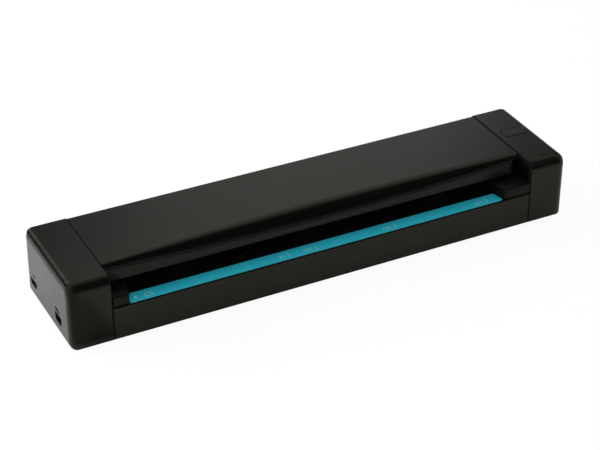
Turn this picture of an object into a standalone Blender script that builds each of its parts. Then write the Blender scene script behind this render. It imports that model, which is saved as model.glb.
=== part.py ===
"""A portable sheet-fed document scanner that reads both sides of a page.

The page enters the slot at the front (-Y), passes between two line sensors and leaves at the rear (+Y).
The cover between the two end caps is hinged along its rear edge. Metres, +Z up, +X towards the button.
The origin is the middle of the footprint, at the underside of the feet.
"""

import math

import bmesh
import bpy
from mathutils import Vector

# Whole body
body_length = 0.2950
body_depth = 0.0630
body_height = 0.0372
foot_drop = 0.0008
end_cap_length = 0.0228
cap_wall = 0.0018
seat_gap = 0.0003
overrun = 0.0010

# Rounded edges of the end caps
front_lean = 0.0012
front_top_radius = 0.0055
rear_top_radius = 0.0012
base_radius = 0.0006
outer_radius = 0.0040
outer_base_radius = 0.0028
cap_edge_steps = 5

# Lower housing
housing_wall = 0.0013
lip_height_share = 0.505376
lip_thickness = 0.0007
lip_drop = 0.0012
rear_wall_share = 0.483871
rib_height = 0.0014
rib_thickness = 0.0012
rib_shares = (-0.78, -0.52, -0.26, 0.0, 0.26, 0.52, 0.78)
post_radius = 0.0025
post_shares = (-0.48, 0.48)

# Paper bed and its guide blocks
paper_height_share = 0.510753
bed_thickness = 0.0016
strip_depth_share = 0.12381
strip_thickness = 0.0010
left_block_length = 0.0091
right_block_length = 0.0161
mouth_funnel = 0.0020
block_height_share = 0.685484
block_depth_share = 0.20
block_lift = 0.0008
block_setback = 0.0002
block_radius = 0.0012

# Drive rollers
feed_share = 0.36508
exit_share = 0.190476
shaft_radius = 0.0020
roller_share = 0.087302
roller_length = 0.0160
roller_rise = 0.0002
roller_shares = (-0.345, 0.0, 0.345)
roller_chamfer = 0.0005
shaft_chamfer = 0.0003
bush_wall = 0.0009
bush_flange = 0.0008
bush_rim = 0.0014

# Side frames
frame_thickness = 0.0016
lug_length = 0.0120
lug_width = 0.0070
lug_height_share = 0.53

# Gears
gear_teeth = 28
pinion_teeth = 12
gear_width = 0.0030
gear_standoff = 0.0010
pressure_angle = math.radians(25)
addendum_share = 0.85
dedendum_share = 1.20
backlash_share = 0.16
flank_steps = 2
pinion_half_pitches = 25
stud_radius = 0.0015

# Motor and its bracket
motor_radius = 0.0060
motor_flat = 0.0050
motor_length = 0.0105
motor_boss_radius = 0.0022
motor_boss_length = 0.0010
motor_shaft_radius = 0.0008
motor_shaft_reach = 0.0014
bracket_thickness = 0.0012
bracket_margin = 0.0020
bracket_foot = 0.0036
bracket_radius = 0.0030
bracket_post_radius = 0.0015

# Line sensors
sensor_end_inset = 0.0043
sensor_side_gap = 0.0015
sensor_height_share = 0.30914
sensor_glass_share = 0.4286
sensor_strip_share = 0.3286
sensor_rim = 0.0010
sensor_glass_thickness = 0.0011
sensor_face_drop = 0.0001
sensor_rest_length = 0.0060
sensor_rest_share = 0.44

# Upper frame
path_gap = 0.0014
guide_thickness = 0.0015
guide_rear_share = 0.0952
throat_share = 0.09206
cheek_inset = 0.0058
cheek_thickness = 0.0015
front_web_height = 0.0029

# Pinch rollers and their springs
pinch_radius = 0.0043
pinch_axle_radius = 0.0014
pinch_land_length = 0.0140
spring_thickness = 0.0004
spring_width = 0.0050
spring_ledge_length = 0.0045
spring_ledge_height = 0.0015
spring_rise = 0.0022
spring_slope_run = 0.0060
spring_foot_length = 0.0030

# Top cover
cover_drop = 0.0003
cover_skin = 0.0014
cover_rear_radius = 0.0015
cover_rear_share = 0.639785
brow_centre_share = 0.3254
brow_end_share = 0.2540
brow_stations = 20
brow_steps = 6
corner_steps = 4
ear_thickness = 0.0026
ear_radius = 0.0032
ear_corner_share = 0.9

# Fascia
fascia_depth_share = 0.18413
fascia_thickness = 0.0013
fascia_bottom_share = 0.733871
fascia_centre_share = 0.860215
fascia_end_share = 0.951613
fascia_left_inset = 0.0006
fascia_right_inset = 0.0058
fascia_end_radius = 0.0011
fascia_edge_radius = 0.0003
fascia_tuck = 0.0002

# Cover hinge
hinge_inset = 0.0047
hinge_drop = 0.0065
hinge_pin_radius = 0.0015
hinge_pin_head = 0.0024
hinge_pin_head_length = 0.0008

# Scan button
button_from_seam = 0.0111
button_rear_inset = 0.0269
button_length = 0.0150
button_width = 0.0073
button_corner = 0.0016
button_proud = 0.0002
button_edge = 0.0004
button_flange = 0.0008
button_flange_thickness = 0.0009
button_stem_radius = 0.0015
button_stem_length = 0.0010
button_travel = 0.0005
switch_side = 0.0050
switch_height = 0.0015
switch_cap_radius = 0.0011
switch_cap_height = 0.0006
button_board_length = 0.0140
button_board_width = 0.0090
board_thickness = 0.0010
shelf_length = 0.0045
shelf_thickness = 0.0012

# Sockets in the left cap
port_share = 0.25
front_port_inset = 0.0175
front_port_width = 0.0077
front_port_tall = 0.0039
rear_port_inset = 0.0105
rear_port_width = 0.0075
rear_port_tall = 0.0026
port_margin = 0.0006
port_recess = 0.0004
port_depth = 0.0080
port_metal = 0.0004
port_tongue_thickness = 0.0007
port_tongue_share = 0.62
port_tongue_recess = 0.0016
port_board_length = 0.0175
port_board_margin = 0.0050

# Main board
main_board_length = 0.1050
main_board_share = 0.36508
main_board_left = 0.0950
main_board_rear_inset = 0.0045
main_board_thickness = 0.0012
chip_height = 0.0012
chip_places = ((-0.30, 0.05, 0.012, 0.010), (0.02, -0.10, 0.009, 0.009), (0.28, 0.12, 0.014, 0.007))

# Paper flag
flag_x = -0.0430
flag_width = 0.0030
flag_thickness = 0.0016
flag_reach = 0.0060
flag_tail = 0.0050
flag_axle_radius = 0.0010
flag_axle_length = 0.0100
flag_hook_thickness = 0.0016
flag_hook_margin = 0.0012
flag_pivot_drop = 0.0043
flag_pivot_gap = 0.0028

# Feet and screws under the caps
foot_radius = 0.0040
foot_recess = 0.0004
foot_from_seam = 0.0140
foot_inset = 0.0070
screw_from_seam = 0.0075
screw_inset = 0.0125
screw_radius = 0.0010
screw_head_radius = 0.0024
screw_head_height = 0.0008
screw_counterbore = 0.0011

# Facets of round pieces
round_steps = 24
small_round_steps = 16
arc_steps = 4
lip_steps = 5
flat_angle = math.radians(0.5)


def front_at(level):
    """The Y of the front faces at a height: they lean back as they rise."""
    return front_lean * (level - foot_drop) / body_height - body_depth / 2


# Places that follow from the sizes above
half_length = body_length / 2
half_depth = body_depth / 2
underside = foot_drop
top_level = foot_drop + body_height
seam = half_length - end_cap_length
middle_half = seam - seat_gap
lip_level = underside + lip_height_share * body_height
paper_level = underside + paper_height_share * body_height
bed_underside = paper_level - bed_thickness
pocket_level = paper_level - strip_thickness - seat_gap
pocket_underside = pocket_level - bed_thickness
block_face = front_at(lip_level) + block_setback
strip_front = front_at(lip_level) + lip_thickness + seat_gap
strip_depth = strip_depth_share * body_depth
block_depth = block_depth_share * body_depth
feed_line = -half_depth + feed_share * body_depth
exit_line = half_depth - exit_share * body_depth
roller_radius = roller_share * body_depth
drive_level = paper_level + roller_rise - roller_radius
pinch_level = paper_level + roller_rise + seat_gap + pinch_radius
guide_level = paper_level + path_gap
mouth_left = left_block_length - middle_half
mouth_right = middle_half - right_block_length
mouth_width = mouth_right - mouth_left
mouth_shift = (mouth_left + mouth_right) / 2
cover_level = top_level - cover_drop
cover_underside = cover_level - cover_skin
fascia_front = -half_depth + fascia_depth_share * body_depth
fascia_rear = fascia_front + fascia_thickness
fascia_bottom = underside + fascia_bottom_share * body_height
fascia_left = fascia_left_inset - seam
fascia_right = seam - fascia_right_inset
frame_front = fascia_rear + seat_gap
cheek_outside = seam - cheek_inset
throat_run = throat_share * body_depth
sensor_middle = (feed_line + exit_line) / 2
sensor_length = mouth_width - 2 * sensor_end_inset
sensor_height = sensor_height_share * body_height
sensor_width = exit_line - feed_line - 2 * (roller_radius + sensor_side_gap)
sensor_glass_width = sensor_glass_share * sensor_width
sensor_strip_width = sensor_strip_share * sensor_width
gear_radius = (exit_line - feed_line) / 4
tooth_module = 2 * gear_radius / gear_teeth
pinion_radius = tooth_module * pinion_teeth / 2
pinion_bearing = math.pi * pinion_half_pitches / gear_teeth
idler_line = (feed_line + exit_line) / 2
motor_line = feed_line + (gear_radius + pinion_radius) * math.cos(pinion_bearing)
motor_level = drive_level + (gear_radius + pinion_radius) * math.sin(pinion_bearing)
frame_outside = seam + frame_thickness
bush_end = frame_outside + seat_gap + bush_flange
gear_start = bush_end + seat_gap
gear_end = gear_start + gear_width
bracket_start = gear_end + gear_standoff
hinge_line = half_depth - hinge_inset
hinge_level = top_level - hinge_drop
button_x = seam + button_from_seam
button_y = half_depth - button_rear_inset
cap_ceiling = top_level - cap_wall
cap_floor = underside + cap_wall
lug_height = lug_height_share * (drive_level - gear_radius - cap_floor)
button_flange_top = cap_ceiling - seat_gap
button_stem_bottom = button_flange_top - button_flange_thickness - button_stem_length
switch_top = button_stem_bottom - button_travel - seat_gap
button_board_top = switch_top - switch_cap_height - switch_height - seat_gap
port_level = underside + port_share * body_height
front_port_y = front_port_inset - half_depth
rear_port_y = half_depth - rear_port_inset
port_board_top = port_level - max(front_port_tall, rear_port_tall) / 2 - seat_gap
main_board_width = main_board_share * body_depth
main_board_bottom = underside + housing_wall + rib_height + seat_gap
flag_line = fascia_rear + flag_pivot_gap
flag_level = paper_level - flag_pivot_drop

AXIS_TURNS = {
    "X": (math.pi / 2, 0, math.pi / 2),
    "Y": (math.pi / 2, 0, 0),
    "Z": (0, 0, 0),
}

# Finishes: colour, roughness, metallic
BLACK_SHELL = ((0.030, 0.030, 0.028), 0.42, 0.0)
BLACK_INNER = ((0.018, 0.018, 0.018), 0.60, 0.0)
TEAL = ((0.012, 0.205, 0.280), 0.38, 0.0)
GLASS = ((0.550, 0.640, 0.640), 0.05, 0.0)
WHITE_PLASTIC = ((0.800, 0.800, 0.780), 0.55, 0.0)
RUBBER = ((0.022, 0.022, 0.024), 0.85, 0.0)
STEEL = ((0.560, 0.560, 0.570), 0.28, 1.0)
ZINC_PLATE = ((0.420, 0.420, 0.430), 0.40, 1.0)
NATURAL_PLASTIC = ((0.720, 0.700, 0.640), 0.50, 0.0)
BOARD_GREEN = ((0.020, 0.130, 0.060), 0.45, 0.0)


def collection_named(name):
    group = bpy.data.collections.new(name)
    bpy.context.scene.collection.children.link(group)
    return group


def empty_at(name, place):
    """A plain empty that carries the pieces which move about one place."""
    empty = bpy.data.objects.new(name, None)
    empty.location = place
    PARTS.objects.link(empty)
    return empty


def give_finish(piece, finish):
    colour, roughness, metallic = finish
    material = bpy.data.materials.new(piece.name + "_finish")
    material.use_nodes = True
    shader = material.node_tree.nodes["Principled BSDF"]
    shader.inputs["Base Color"].default_value = (*colour, 1)
    shader.inputs["Roughness"].default_value = roughness
    shader.inputs["Metallic"].default_value = metallic
    piece.data.materials.clear()
    piece.data.materials.append(material)


def carried_by(piece, carrier):
    """Parents a piece without moving it."""
    bpy.context.view_layer.update()
    place = piece.matrix_world.copy()
    piece.parent = carrier
    piece.matrix_parent_inverse = carrier.matrix_world.inverted()
    piece.matrix_world = place


def finished(piece, finish, carrier):
    give_finish(piece, finish)
    carried_by(piece, carrier)
    return piece


def hide_as_tool(piece):
    """Moves a cutter, or a piece that is joined into another, out of the part's own collection."""
    for group in list(piece.users_collection):
        group.objects.unlink(piece)
    TOOLS.objects.link(piece)
    piece.hide_render = True
    piece.display_type = "WIRE"


def combine(piece, tool, operation):
    hide_as_tool(tool)
    modifier = piece.modifiers.new(operation.lower(), "BOOLEAN")
    modifier.operation = operation
    modifier.object = tool
    modifier.solver = "EXACT"


def cut(piece, tool):
    combine(piece, tool, "DIFFERENCE")


def join(piece, tool):
    combine(piece, tool, "UNION")


def object_from(name, shape):
    mesh = bpy.data.meshes.new(name)
    bmesh.ops.recalc_face_normals(shape, faces=shape.faces)
    shape.to_mesh(mesh)
    shape.free()
    piece = bpy.data.objects.new(name, mesh)
    PARTS.objects.link(piece)
    return piece


def block(name, low, high):
    """A box between two corners, centred on its own origin."""
    low = Vector(low)
    high = Vector(high)
    shape = bmesh.new()
    bmesh.ops.create_cube(shape, size=1)
    bmesh.ops.scale(shape, vec=high - low, verts=shape.verts)
    piece = object_from(name, shape)
    piece.location = (low + high) / 2
    return piece


def rod(name, axis, place, start, end, radius, steps):
    """A round bar along an axis; place gives its two other coordinates."""
    shape = bmesh.new()
    bmesh.ops.create_cone(
        shape, cap_ends=True, segments=steps, radius1=radius, radius2=radius, depth=end - start
    )
    piece = object_from(name, shape)
    soften_rounds(piece)
    piece.rotation_euler = AXIS_TURNS[axis]
    middle = (start + end) / 2
    if axis == "X":
        piece.location = (middle, place[0], place[1])
    elif axis == "Y":
        piece.location = (place[0], middle, place[1])
    else:
        piece.location = (place[0], place[1], middle)
    return piece


def rounded(corners, steps=arc_steps):
    """An outline whose corners are (u, v, radius); each radius becomes an arc."""
    outline = []
    count = len(corners)
    for index, (u, v, radius) in enumerate(corners):
        corner = Vector((u, v))
        if radius <= 0:
            outline.append(corner)
            continue
        before = (Vector(corners[index - 1][:2]) - corner).normalized()
        after = (Vector(corners[(index + 1) % count][:2]) - corner).normalized()
        half = before.angle(after) / 2
        reach = radius / math.tan(half)
        centre = corner + (before + after).normalized() * (radius / math.sin(half))
        first = corner + before * reach - centre
        turn = first.angle_signed(corner + after * reach - centre)
        for step in range(steps + 1):
            angle = -turn * step / steps
            arm = Vector((
                first.x * math.cos(angle) - first.y * math.sin(angle),
                first.x * math.sin(angle) + first.y * math.cos(angle),
            ))
            outline.append(centre + arm)
    return [tuple(point) for point in outline]


def ring_outline(centre, radius, steps):
    return [
        (
            centre[0] + radius * math.cos(2 * math.pi * step / steps),
            centre[1] + radius * math.sin(2 * math.pi * step / steps),
        )
        for step in range(steps)
    ]


def swept(name, outlines, axis, start, end):
    """Flat outlines, the later ones holes, filled and swept from start to end along an axis.

    An outline is written in Y and Z for a sweep along X, in X and Z along Y, and in X and Y along Z.
    """
    curve = bpy.data.curves.new(name, "CURVE")
    curve.dimensions = "2D"
    curve.fill_mode = "BOTH"
    curve.extrude = (end - start) / 2
    for outline in outlines:
        spline = curve.splines.new("POLY")
        spline.points.add(len(outline) - 1)
        for point, (u, v) in zip(spline.points, outline):
            point.co = (u, v, 0, 1)
        spline.use_cyclic_u = True
    flat = bpy.data.objects.new(name + "_outline", curve)
    flat.rotation_euler = AXIS_TURNS[axis]
    middle = (start + end) / 2
    flat.location = {"X": (middle, 0, 0), "Y": (0, middle, 0), "Z": (0, 0, middle)}[axis]
    PARTS.objects.link(flat)
    bpy.context.view_layer.update()
    graph = bpy.context.evaluated_depsgraph_get()
    mesh = bpy.data.meshes.new_from_object(flat.evaluated_get(graph))
    shape = bmesh.new()
    shape.from_mesh(mesh)
    bpy.data.meshes.remove(mesh)
    bmesh.ops.remove_doubles(shape, verts=shape.verts, dist=seat_gap / 100)
    if len(outlines) == 1:
        bmesh.ops.dissolve_limit(
            shape, angle_limit=flat_angle, verts=shape.verts, edges=shape.edges,
            use_dissolve_boundaries=False,
        )
    piece = object_from(name, shape)
    piece.matrix_world = flat.matrix_world
    bpy.data.objects.remove(flat)
    return piece


def turned(name, profile, place, closed=False, steps=round_steps):
    """A profile of (radius, x) turned about a line along X through place (y, z).

    The profile runs down its outer side, and a closed one returns up its bore.
    """
    shape = bmesh.new()
    corners = [shape.verts.new((radius, 0, -x)) for radius, x in profile]
    pairs = list(zip(corners, corners[1:]))
    if closed:
        pairs.append((corners[-1], corners[0]))
    for pair in pairs:
        shape.edges.new(pair)
    mesh = bpy.data.meshes.new(name)
    shape.to_mesh(mesh)
    shape.free()
    piece = bpy.data.objects.new(name, mesh)
    piece.rotation_euler = (0, -math.pi / 2, 0)
    piece.location = (0, place[0], place[1])
    PARTS.objects.link(piece)
    screw = piece.modifiers.new("turn", "SCREW")
    screw.steps = steps
    screw.render_steps = steps
    screw.use_merge_vertices = True
    screw.merge_threshold = seat_gap / 100
    return piece


def soften_rounds(piece):
    piece.data.shade_smooth()
    piece.data.set_sharp_from_angle(angle=math.radians(35))


def round_edges(piece, radius_of, widest, steps):
    """Bevels the edges for which radius_of, given both ends in world space, returns a radius."""
    bpy.context.view_layer.update()
    shape = bmesh.new()
    shape.from_mesh(piece.data)
    weight = shape.edges.layers.float.new("bevel_weight_edge")
    for edge in shape.edges:
        ends = [piece.matrix_world @ corner.co for corner in edge.verts]
        edge[weight] = min(max(radius_of(*ends) / widest, 0), 1)
    shape.to_mesh(piece.data)
    shape.free()
    bevel = piece.modifiers.new("rounded edges", "BEVEL")
    bevel.limit_method = "WEIGHT"
    bevel.width = widest
    bevel.segments = steps


def cap_block(name, inner, outer, inset, round_outer):
    """The end cap's outer form, or with an inset the space or plate that fits inside it."""
    low = underside + inset
    high = top_level - inset
    rear = half_depth - inset
    shape = bmesh.new()
    bmesh.ops.create_cube(shape, size=2)
    for corner in shape.verts:
        level = high if corner.co.z > 0 else low
        corner.co.x = outer if corner.co.x > 0 else inner
        corner.co.y = rear if corner.co.y > 0 else front_at(level) + inset
        corner.co.z = level
    piece = object_from(name, shape)

    def radius_of(first, second):
        middle = (first + second) / 2
        if abs(first.x - second.x) > abs(outer - inner) / 2:
            if middle.z < (low + high) / 2:
                return base_radius - inset
            return (rear_top_radius if middle.y > 0 else front_top_radius) - inset
        if round_outer and abs(middle.x - outer) < seat_gap:
            at_base = max(first.z, second.z) < (low + high) / 2
            return (outer_base_radius if at_base else outer_radius) - inset
        return 0

    round_edges(piece, radius_of, front_top_radius, cap_edge_steps)
    piece.modifiers.new("flat faces", "TRIANGULATE")
    return piece


def port_outline(place, width, tall, grow):
    """A socket's mouth: its lower corners are cut away so that a plug fits one way round."""
    half = width / 2 + grow
    high = tall / 2 + grow
    y, z = place
    return rounded([
        (y - half, z + high, grow + port_metal),
        (y + half, z + high, grow + port_metal),
        (y + half, z - high / 3, 0),
        (y + half - high / 2, z - high, 0),
        (y - half + high / 2, z - high, 0),
        (y - half, z - high / 3, 0),
    ])


def mouth_edge(side, y):
    """The X of a guide block's inner face, which closes in as the page goes deeper."""
    edge = mouth_right if side > 0 else mouth_left
    return edge - side * mouth_funnel * (y - block_face) / strip_depth


def fascia_top(x):
    """The height of the fascia's top edge: lowest in the middle, rising to the ends."""
    share = min(abs(x) / fascia_right, 1)
    height_share = fascia_centre_share + (fascia_end_share - fascia_centre_share) * share ** 2
    return underside + height_share * body_height


def brow_start(x):
    """The Y where the flat top ends and the curved front edge begins."""
    share = min(abs(x) / fascia_right, 1)
    depth_share = brow_centre_share - (brow_centre_share - brow_end_share) * share ** 2
    return -half_depth + depth_share * body_depth


def roller_places():
    return [mouth_shift + share * mouth_width for share in roller_shares]


def gear_outline(teeth, radius, phase):
    """Teeth with involute flanks around the origin; a tooth points along the phase angle."""
    base = radius * math.cos(pressure_angle)
    root = radius - dedendum_share * tooth_module
    tip = radius + addendum_share * tooth_module
    tooth_half = (math.pi / 2 - backlash_share) / teeth

    def involute(angle):
        return math.tan(angle) - angle

    def flank_half(at_radius):
        angle = math.acos(min(base / at_radius, 1))
        return tooth_half + involute(pressure_angle) - involute(angle)

    start = max(base, root)
    radii = [start + (tip - start) * step / flank_steps for step in range(flank_steps + 1)]
    outline = []
    for tooth in range(teeth):
        middle = phase + 2 * math.pi * tooth / teeth
        halves = [(root, flank_half(start))] + [(at, flank_half(at)) for at in radii]
        if root >= base:
            halves = halves[1:]
        for at, half in halves:
            outline.append((at * math.cos(middle - half), at * math.sin(middle - half)))
        for at, half in reversed(halves):
            outline.append((at * math.cos(middle + half), at * math.sin(middle + half)))
    return outline


def placed_outline(outline, place):
    return [(u + place[0], v + place[1]) for u, v in outline]


def make_end_cap(side):
    """One full-height cap: a thick shell, open towards the middle."""
    name = "right_end_cap" if side > 0 else "left_end_cap"
    cap = cap_block(name, side * seam, side * half_length, 0, True)
    cavity = cap_block(
        name + "_cavity", side * (seam - overrun), side * (half_length - cap_wall), cap_wall, True
    )
    cut(cap, cavity)
    for row in (-1, 1):
        foot_place = (side * (seam + foot_from_seam), row * (half_depth - foot_inset))
        recess = rod(
            f"{name}_foot_recess_{row}", "Z", foot_place,
            underside - overrun, underside + foot_recess, foot_radius + seat_gap, round_steps,
        )
        cut(cap, recess)
        screw_place = (side * (seam + screw_from_seam), row * (half_depth - screw_inset))
        hole = rod(
            f"{name}_screw_hole_{row}", "Z", screw_place,
            underside - overrun, cap_floor + overrun, screw_radius + seat_gap, small_round_steps,
        )
        cut(cap, hole)
        counterbore = rod(
            f"{name}_counterbore_{row}", "Z", screw_place,
            underside - overrun, underside + screw_counterbore,
            screw_head_radius + seat_gap, small_round_steps,
        )
        cut(cap, counterbore)
    return cap


def make_left_cap():
    cap = make_end_cap(-1)
    sockets = (
        ("front", front_port_y, front_port_width, front_port_tall),
        ("rear", rear_port_y, rear_port_width, rear_port_tall),
    )
    for label, y, width, tall in sockets:
        window = swept(
            f"{label}_port_window", [port_outline((y, port_level), width, tall, port_margin)],
            "X", -half_length - overrun, -half_length + cap_wall + overrun,
        )
        cut(cap, window)
    finished(cap, BLACK_SHELL, ROOT)


def button_outline(grow):
    half = button_length / 2 + grow
    deep = button_width / 2 + grow
    radius = button_corner + grow
    return rounded([
        (button_x - half, button_y - deep, radius),
        (button_x + half, button_y - deep, radius),
        (button_x + half, button_y + deep, radius),
        (button_x - half, button_y + deep, radius),
    ])


def make_right_cap():
    cap = make_end_cap(1)
    opening = swept(
        "button_opening", [button_outline(seat_gap)], "Z", cap_ceiling - overrun, top_level + overrun
    )
    cut(cap, opening)
    finished(cap, BLACK_SHELL, ROOT)


def make_side_frame(side):
    """The plate that closes a cap and carries the shafts, the hinge pin and the boards."""
    name = "right_side_frame" if side > 0 else "left_side_frame"
    frame = cap_block(name, side * seam, side * frame_outside, cap_wall + seat_gap, False)
    start, end = sorted((side * (seam - overrun), side * (frame_outside + overrun)))
    for label, line in (("feed", feed_line), ("exit", exit_line)):
        bore = rod(
            f"{name}_{label}_bore", "X", (line, drive_level), start, end,
            shaft_radius + seat_gap + bush_wall + seat_gap, round_steps,
        )
        cut(frame, bore)
    pin_hole = rod(
        f"{name}_pin_hole", "X", (hinge_line, hinge_level), start, end,
        hinge_pin_radius + seat_gap, small_round_steps,
    )
    cut(frame, pin_hole)
    for row in (-1, 1):
        y = row * (half_depth - screw_inset)
        root = side * (frame_outside - frame_thickness / 2)
        low, high = sorted((root, side * (frame_outside + lug_length)))
        lug = block(
            f"{name}_lug_{row}",
            (low, y - lug_width / 2, cap_floor + seat_gap),
            (high, y + lug_width / 2, cap_floor + seat_gap + lug_height),
        )
        join(frame, lug)
    for row in (-1, 1):
        y = row * (half_depth - screw_inset)
        pilot = rod(
            f"{name}_pilot_{row}", "Z", (side * (seam + screw_from_seam), y),
            cap_floor - overrun, cap_floor + lug_height + overrun, screw_radius + seat_gap, small_round_steps,
        )
        cut(frame, pilot)
    return frame


def make_left_frame():
    frame = make_side_frame(-1)
    ledge_top = port_board_top - board_thickness - seat_gap
    ledge = block(
        "port_ledge",
        (-frame_outside - shelf_length, front_port_y - port_board_margin, ledge_top - shelf_thickness),
        (-frame_outside + frame_thickness / 2, rear_port_y + port_board_margin, ledge_top),
    )
    join(frame, ledge)
    finished(frame, BLACK_INNER, ROOT)


def make_right_frame():
    frame = make_side_frame(1)
    stud = rod(
        "idler_stud", "X", (idler_line, drive_level),
        frame_outside - frame_thickness / 2, gear_end + gear_standoff / 2, stud_radius, small_round_steps,
    )
    join(frame, stud)
    shelf_top = button_board_top - board_thickness - seat_gap
    shelf = block(
        "button_shelf",
        (frame_outside - frame_thickness / 2, button_y - button_board_width / 2, shelf_top - shelf_thickness),
        (frame_outside + shelf_length, button_y + button_board_width / 2, shelf_top),
    )
    join(frame, shelf)
    finished(frame, BLACK_INNER, ROOT)


def make_lower_housing():
    """The tray between the caps: front panel, floor and rear wall in one moulding.

    The front panel ends in a thin rounded lip, with a shoulder behind it for the strip's front edge.
    """
    floor_top = underside + housing_wall
    floor_middle = underside + housing_wall / 2
    rear_level = underside + rear_wall_share * body_height
    outline = rounded([
        (front_at(underside), underside, base_radius),
        (half_depth, underside, base_radius),
        (half_depth, rear_level, seat_gap),
        (half_depth - housing_wall, rear_level, seat_gap),
        (half_depth - housing_wall, floor_top, base_radius),
        (front_at(floor_top) + housing_wall, floor_top, base_radius),
        (front_at(pocket_level) + housing_wall, pocket_level, 0),
        (strip_front - seat_gap, pocket_level, 0),
    ])
    for step in range(lip_steps + 1):
        angle = math.pi / 2 * step / lip_steps
        outline.append((
            front_at(lip_level) + lip_thickness * (1 - math.sin(angle)),
            lip_level - lip_drop * (1 - math.cos(angle)),
        ))
    housing = swept("lower_housing", [outline], "X", -middle_half, middle_half)
    for index, share in enumerate(rib_shares):
        middle = share * middle_half
        rib = block(
            f"housing_rib_{index}",
            (middle - rib_thickness / 2, front_at(floor_top) + housing_wall / 2, floor_middle),
            (middle + rib_thickness / 2, half_depth - housing_wall / 2, floor_top + rib_height),
        )
        join(housing, rib)
    for index, share in enumerate(post_shares):
        x = share * middle_half
        front_post = rod(
            f"front_post_{index}", "Z", (x, front_at(floor_top) + housing_wall + 2 * post_radius),
            floor_middle, pocket_underside - seat_gap, post_radius, small_round_steps,
        )
        join(housing, front_post)
        rear_post = rod(
            f"rear_post_{index}", "Z", (x, half_depth - housing_wall - post_radius / 4),
            floor_middle, bed_underside - seat_gap, post_radius / 2, small_round_steps,
        )
        join(housing, rear_post)
    for row in (-1, 1):
        x = mouth_shift + row * sensor_rest_share * sensor_length
        rest = block(
            f"sensor_rest_{row}",
            (x - sensor_rest_length / 2, sensor_middle - sensor_width / 3, floor_middle),
            (
                x + sensor_rest_length / 2,
                sensor_middle + sensor_width / 3,
                paper_level - sensor_face_drop - sensor_height - seat_gap,
            ),
        )
        join(housing, rest)
    finished(housing, BLACK_SHELL, ROOT)


def make_paper_bed():
    """The lower paper guide: stepped down at the front for the strip, a block at each end of the slot."""
    front = front_at(pocket_level) + housing_wall + seat_gap
    rear = half_depth - housing_wall - seat_gap
    pocket_rear = strip_front + strip_depth + seat_gap
    outline = rounded([
        (front, pocket_underside, 0),
        (pocket_rear + bed_thickness, pocket_underside, 0),
        (pocket_rear + bed_thickness, bed_underside, 0),
        (rear, bed_underside, 0),
        (rear, paper_level, bed_thickness / 3),
        (pocket_rear, paper_level, bed_thickness / 3),
        (pocket_rear, pocket_level, 0),
        (front, pocket_level, 0),
    ])
    bed = swept("paper_bed", [outline], "X", -middle_half, middle_half)
    for side in (-1, 1):
        join(bed, make_guide_block(side, front))
    half_window = math.sqrt(roller_radius ** 2 - (bed_underside - drive_level) ** 2) + seat_gap
    for line_name, line in (("feed", feed_line), ("exit", exit_line)):
        for index, x in enumerate(roller_places()):
            window = block(
                f"bed_{line_name}_window_{index}",
                (x - roller_length / 2 - seat_gap, line - half_window, bed_underside - overrun),
                (x + roller_length / 2 + seat_gap, line + half_window, paper_level + overrun),
            )
            cut(bed, window)
    sensor_window = block(
        "bed_sensor_window",
        (
            mouth_shift - sensor_length / 2 - seat_gap,
            sensor_middle - sensor_width / 2 - seat_gap,
            bed_underside - overrun,
        ),
        (
            mouth_shift + sensor_length / 2 + seat_gap,
            sensor_middle + sensor_width / 2 + seat_gap,
            paper_level + overrun,
        ),
    )
    cut(bed, sensor_window)
    add_flag_hooks(bed)
    finished(bed, BLACK_INNER, ROOT)


def make_guide_block(side, bed_front):
    """A block that closes one end of the slot and funnels the page towards the rollers."""
    back = block_face + block_depth
    end = side * (middle_half - seat_gap)
    low = (pocket_level + bed_underside) / 2
    high = underside + block_height_share * body_height
    plan = [
        (mouth_edge(side, block_face), block_face),
        (end, block_face),
        (end, back),
        (mouth_edge(side, back), back),
    ]
    guide = swept(f"guide_block_{side}", [plan], "Z", low, high)

    def radius_of(first, second):
        on_top = min(first.z, second.z) > high - seat_gap
        at_back = min(first.y, second.y) > back - seat_gap
        at_end = abs(first.x - end) < seat_gap and abs(second.x - end) < seat_gap
        upright = abs(first.z - second.z) > (high - low) / 2
        return block_radius if (on_top or upright) and not at_back and not at_end else 0

    round_edges(guide, radius_of, block_radius, arc_steps)
    guide.modifiers.new("flat faces", "TRIANGULATE")
    start, finish = sorted((mouth_edge(side, block_face) - side * overrun, end + side * overrun))
    recess = block(
        f"guide_block_recess_{side}",
        (start, block_face - overrun, low - overrun),
        (finish, bed_front, lip_level + block_lift),
    )
    cut(guide, recess)
    return guide


def add_flag_hooks(bed):
    """Two ears under the bed that hold the flag's axle, and the window that its arm comes through."""
    hook_reach = flag_axle_radius + seat_gap + flag_hook_margin
    window = block(
        "flag_window",
        (
            flag_x - flag_width / 2 - 2 * seat_gap,
            flag_line - flag_thickness / 2 - seat_gap,
            pocket_underside - overrun,
        ),
        (
            flag_x + flag_width / 2 + 2 * seat_gap,
            flag_line + flag_reach,
            paper_level + overrun,
        ),
    )
    cut(bed, window)
    for row in (-1, 1):
        middle = flag_x + row * (flag_axle_length / 2 - flag_hook_thickness / 2)
        hook = swept(
            f"flag_hook_{row}",
            [rounded([
                (flag_line - hook_reach, flag_level - hook_reach, hook_reach / 2),
                (flag_line + hook_reach, flag_level - hook_reach, hook_reach / 2),
                (flag_line + hook_reach, paper_level - bed_thickness / 2, 0),
                (flag_line - hook_reach, paper_level - bed_thickness / 2, 0),
            ])],
            "X", middle - flag_hook_thickness / 2, middle + flag_hook_thickness / 2,
        )
        join(bed, hook)
    bore = rod(
        "flag_bore", "X", (flag_line, flag_level),
        flag_x - flag_axle_length, flag_x + flag_axle_length, flag_axle_radius + seat_gap, small_round_steps,
    )
    cut(bed, bore)


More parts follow.
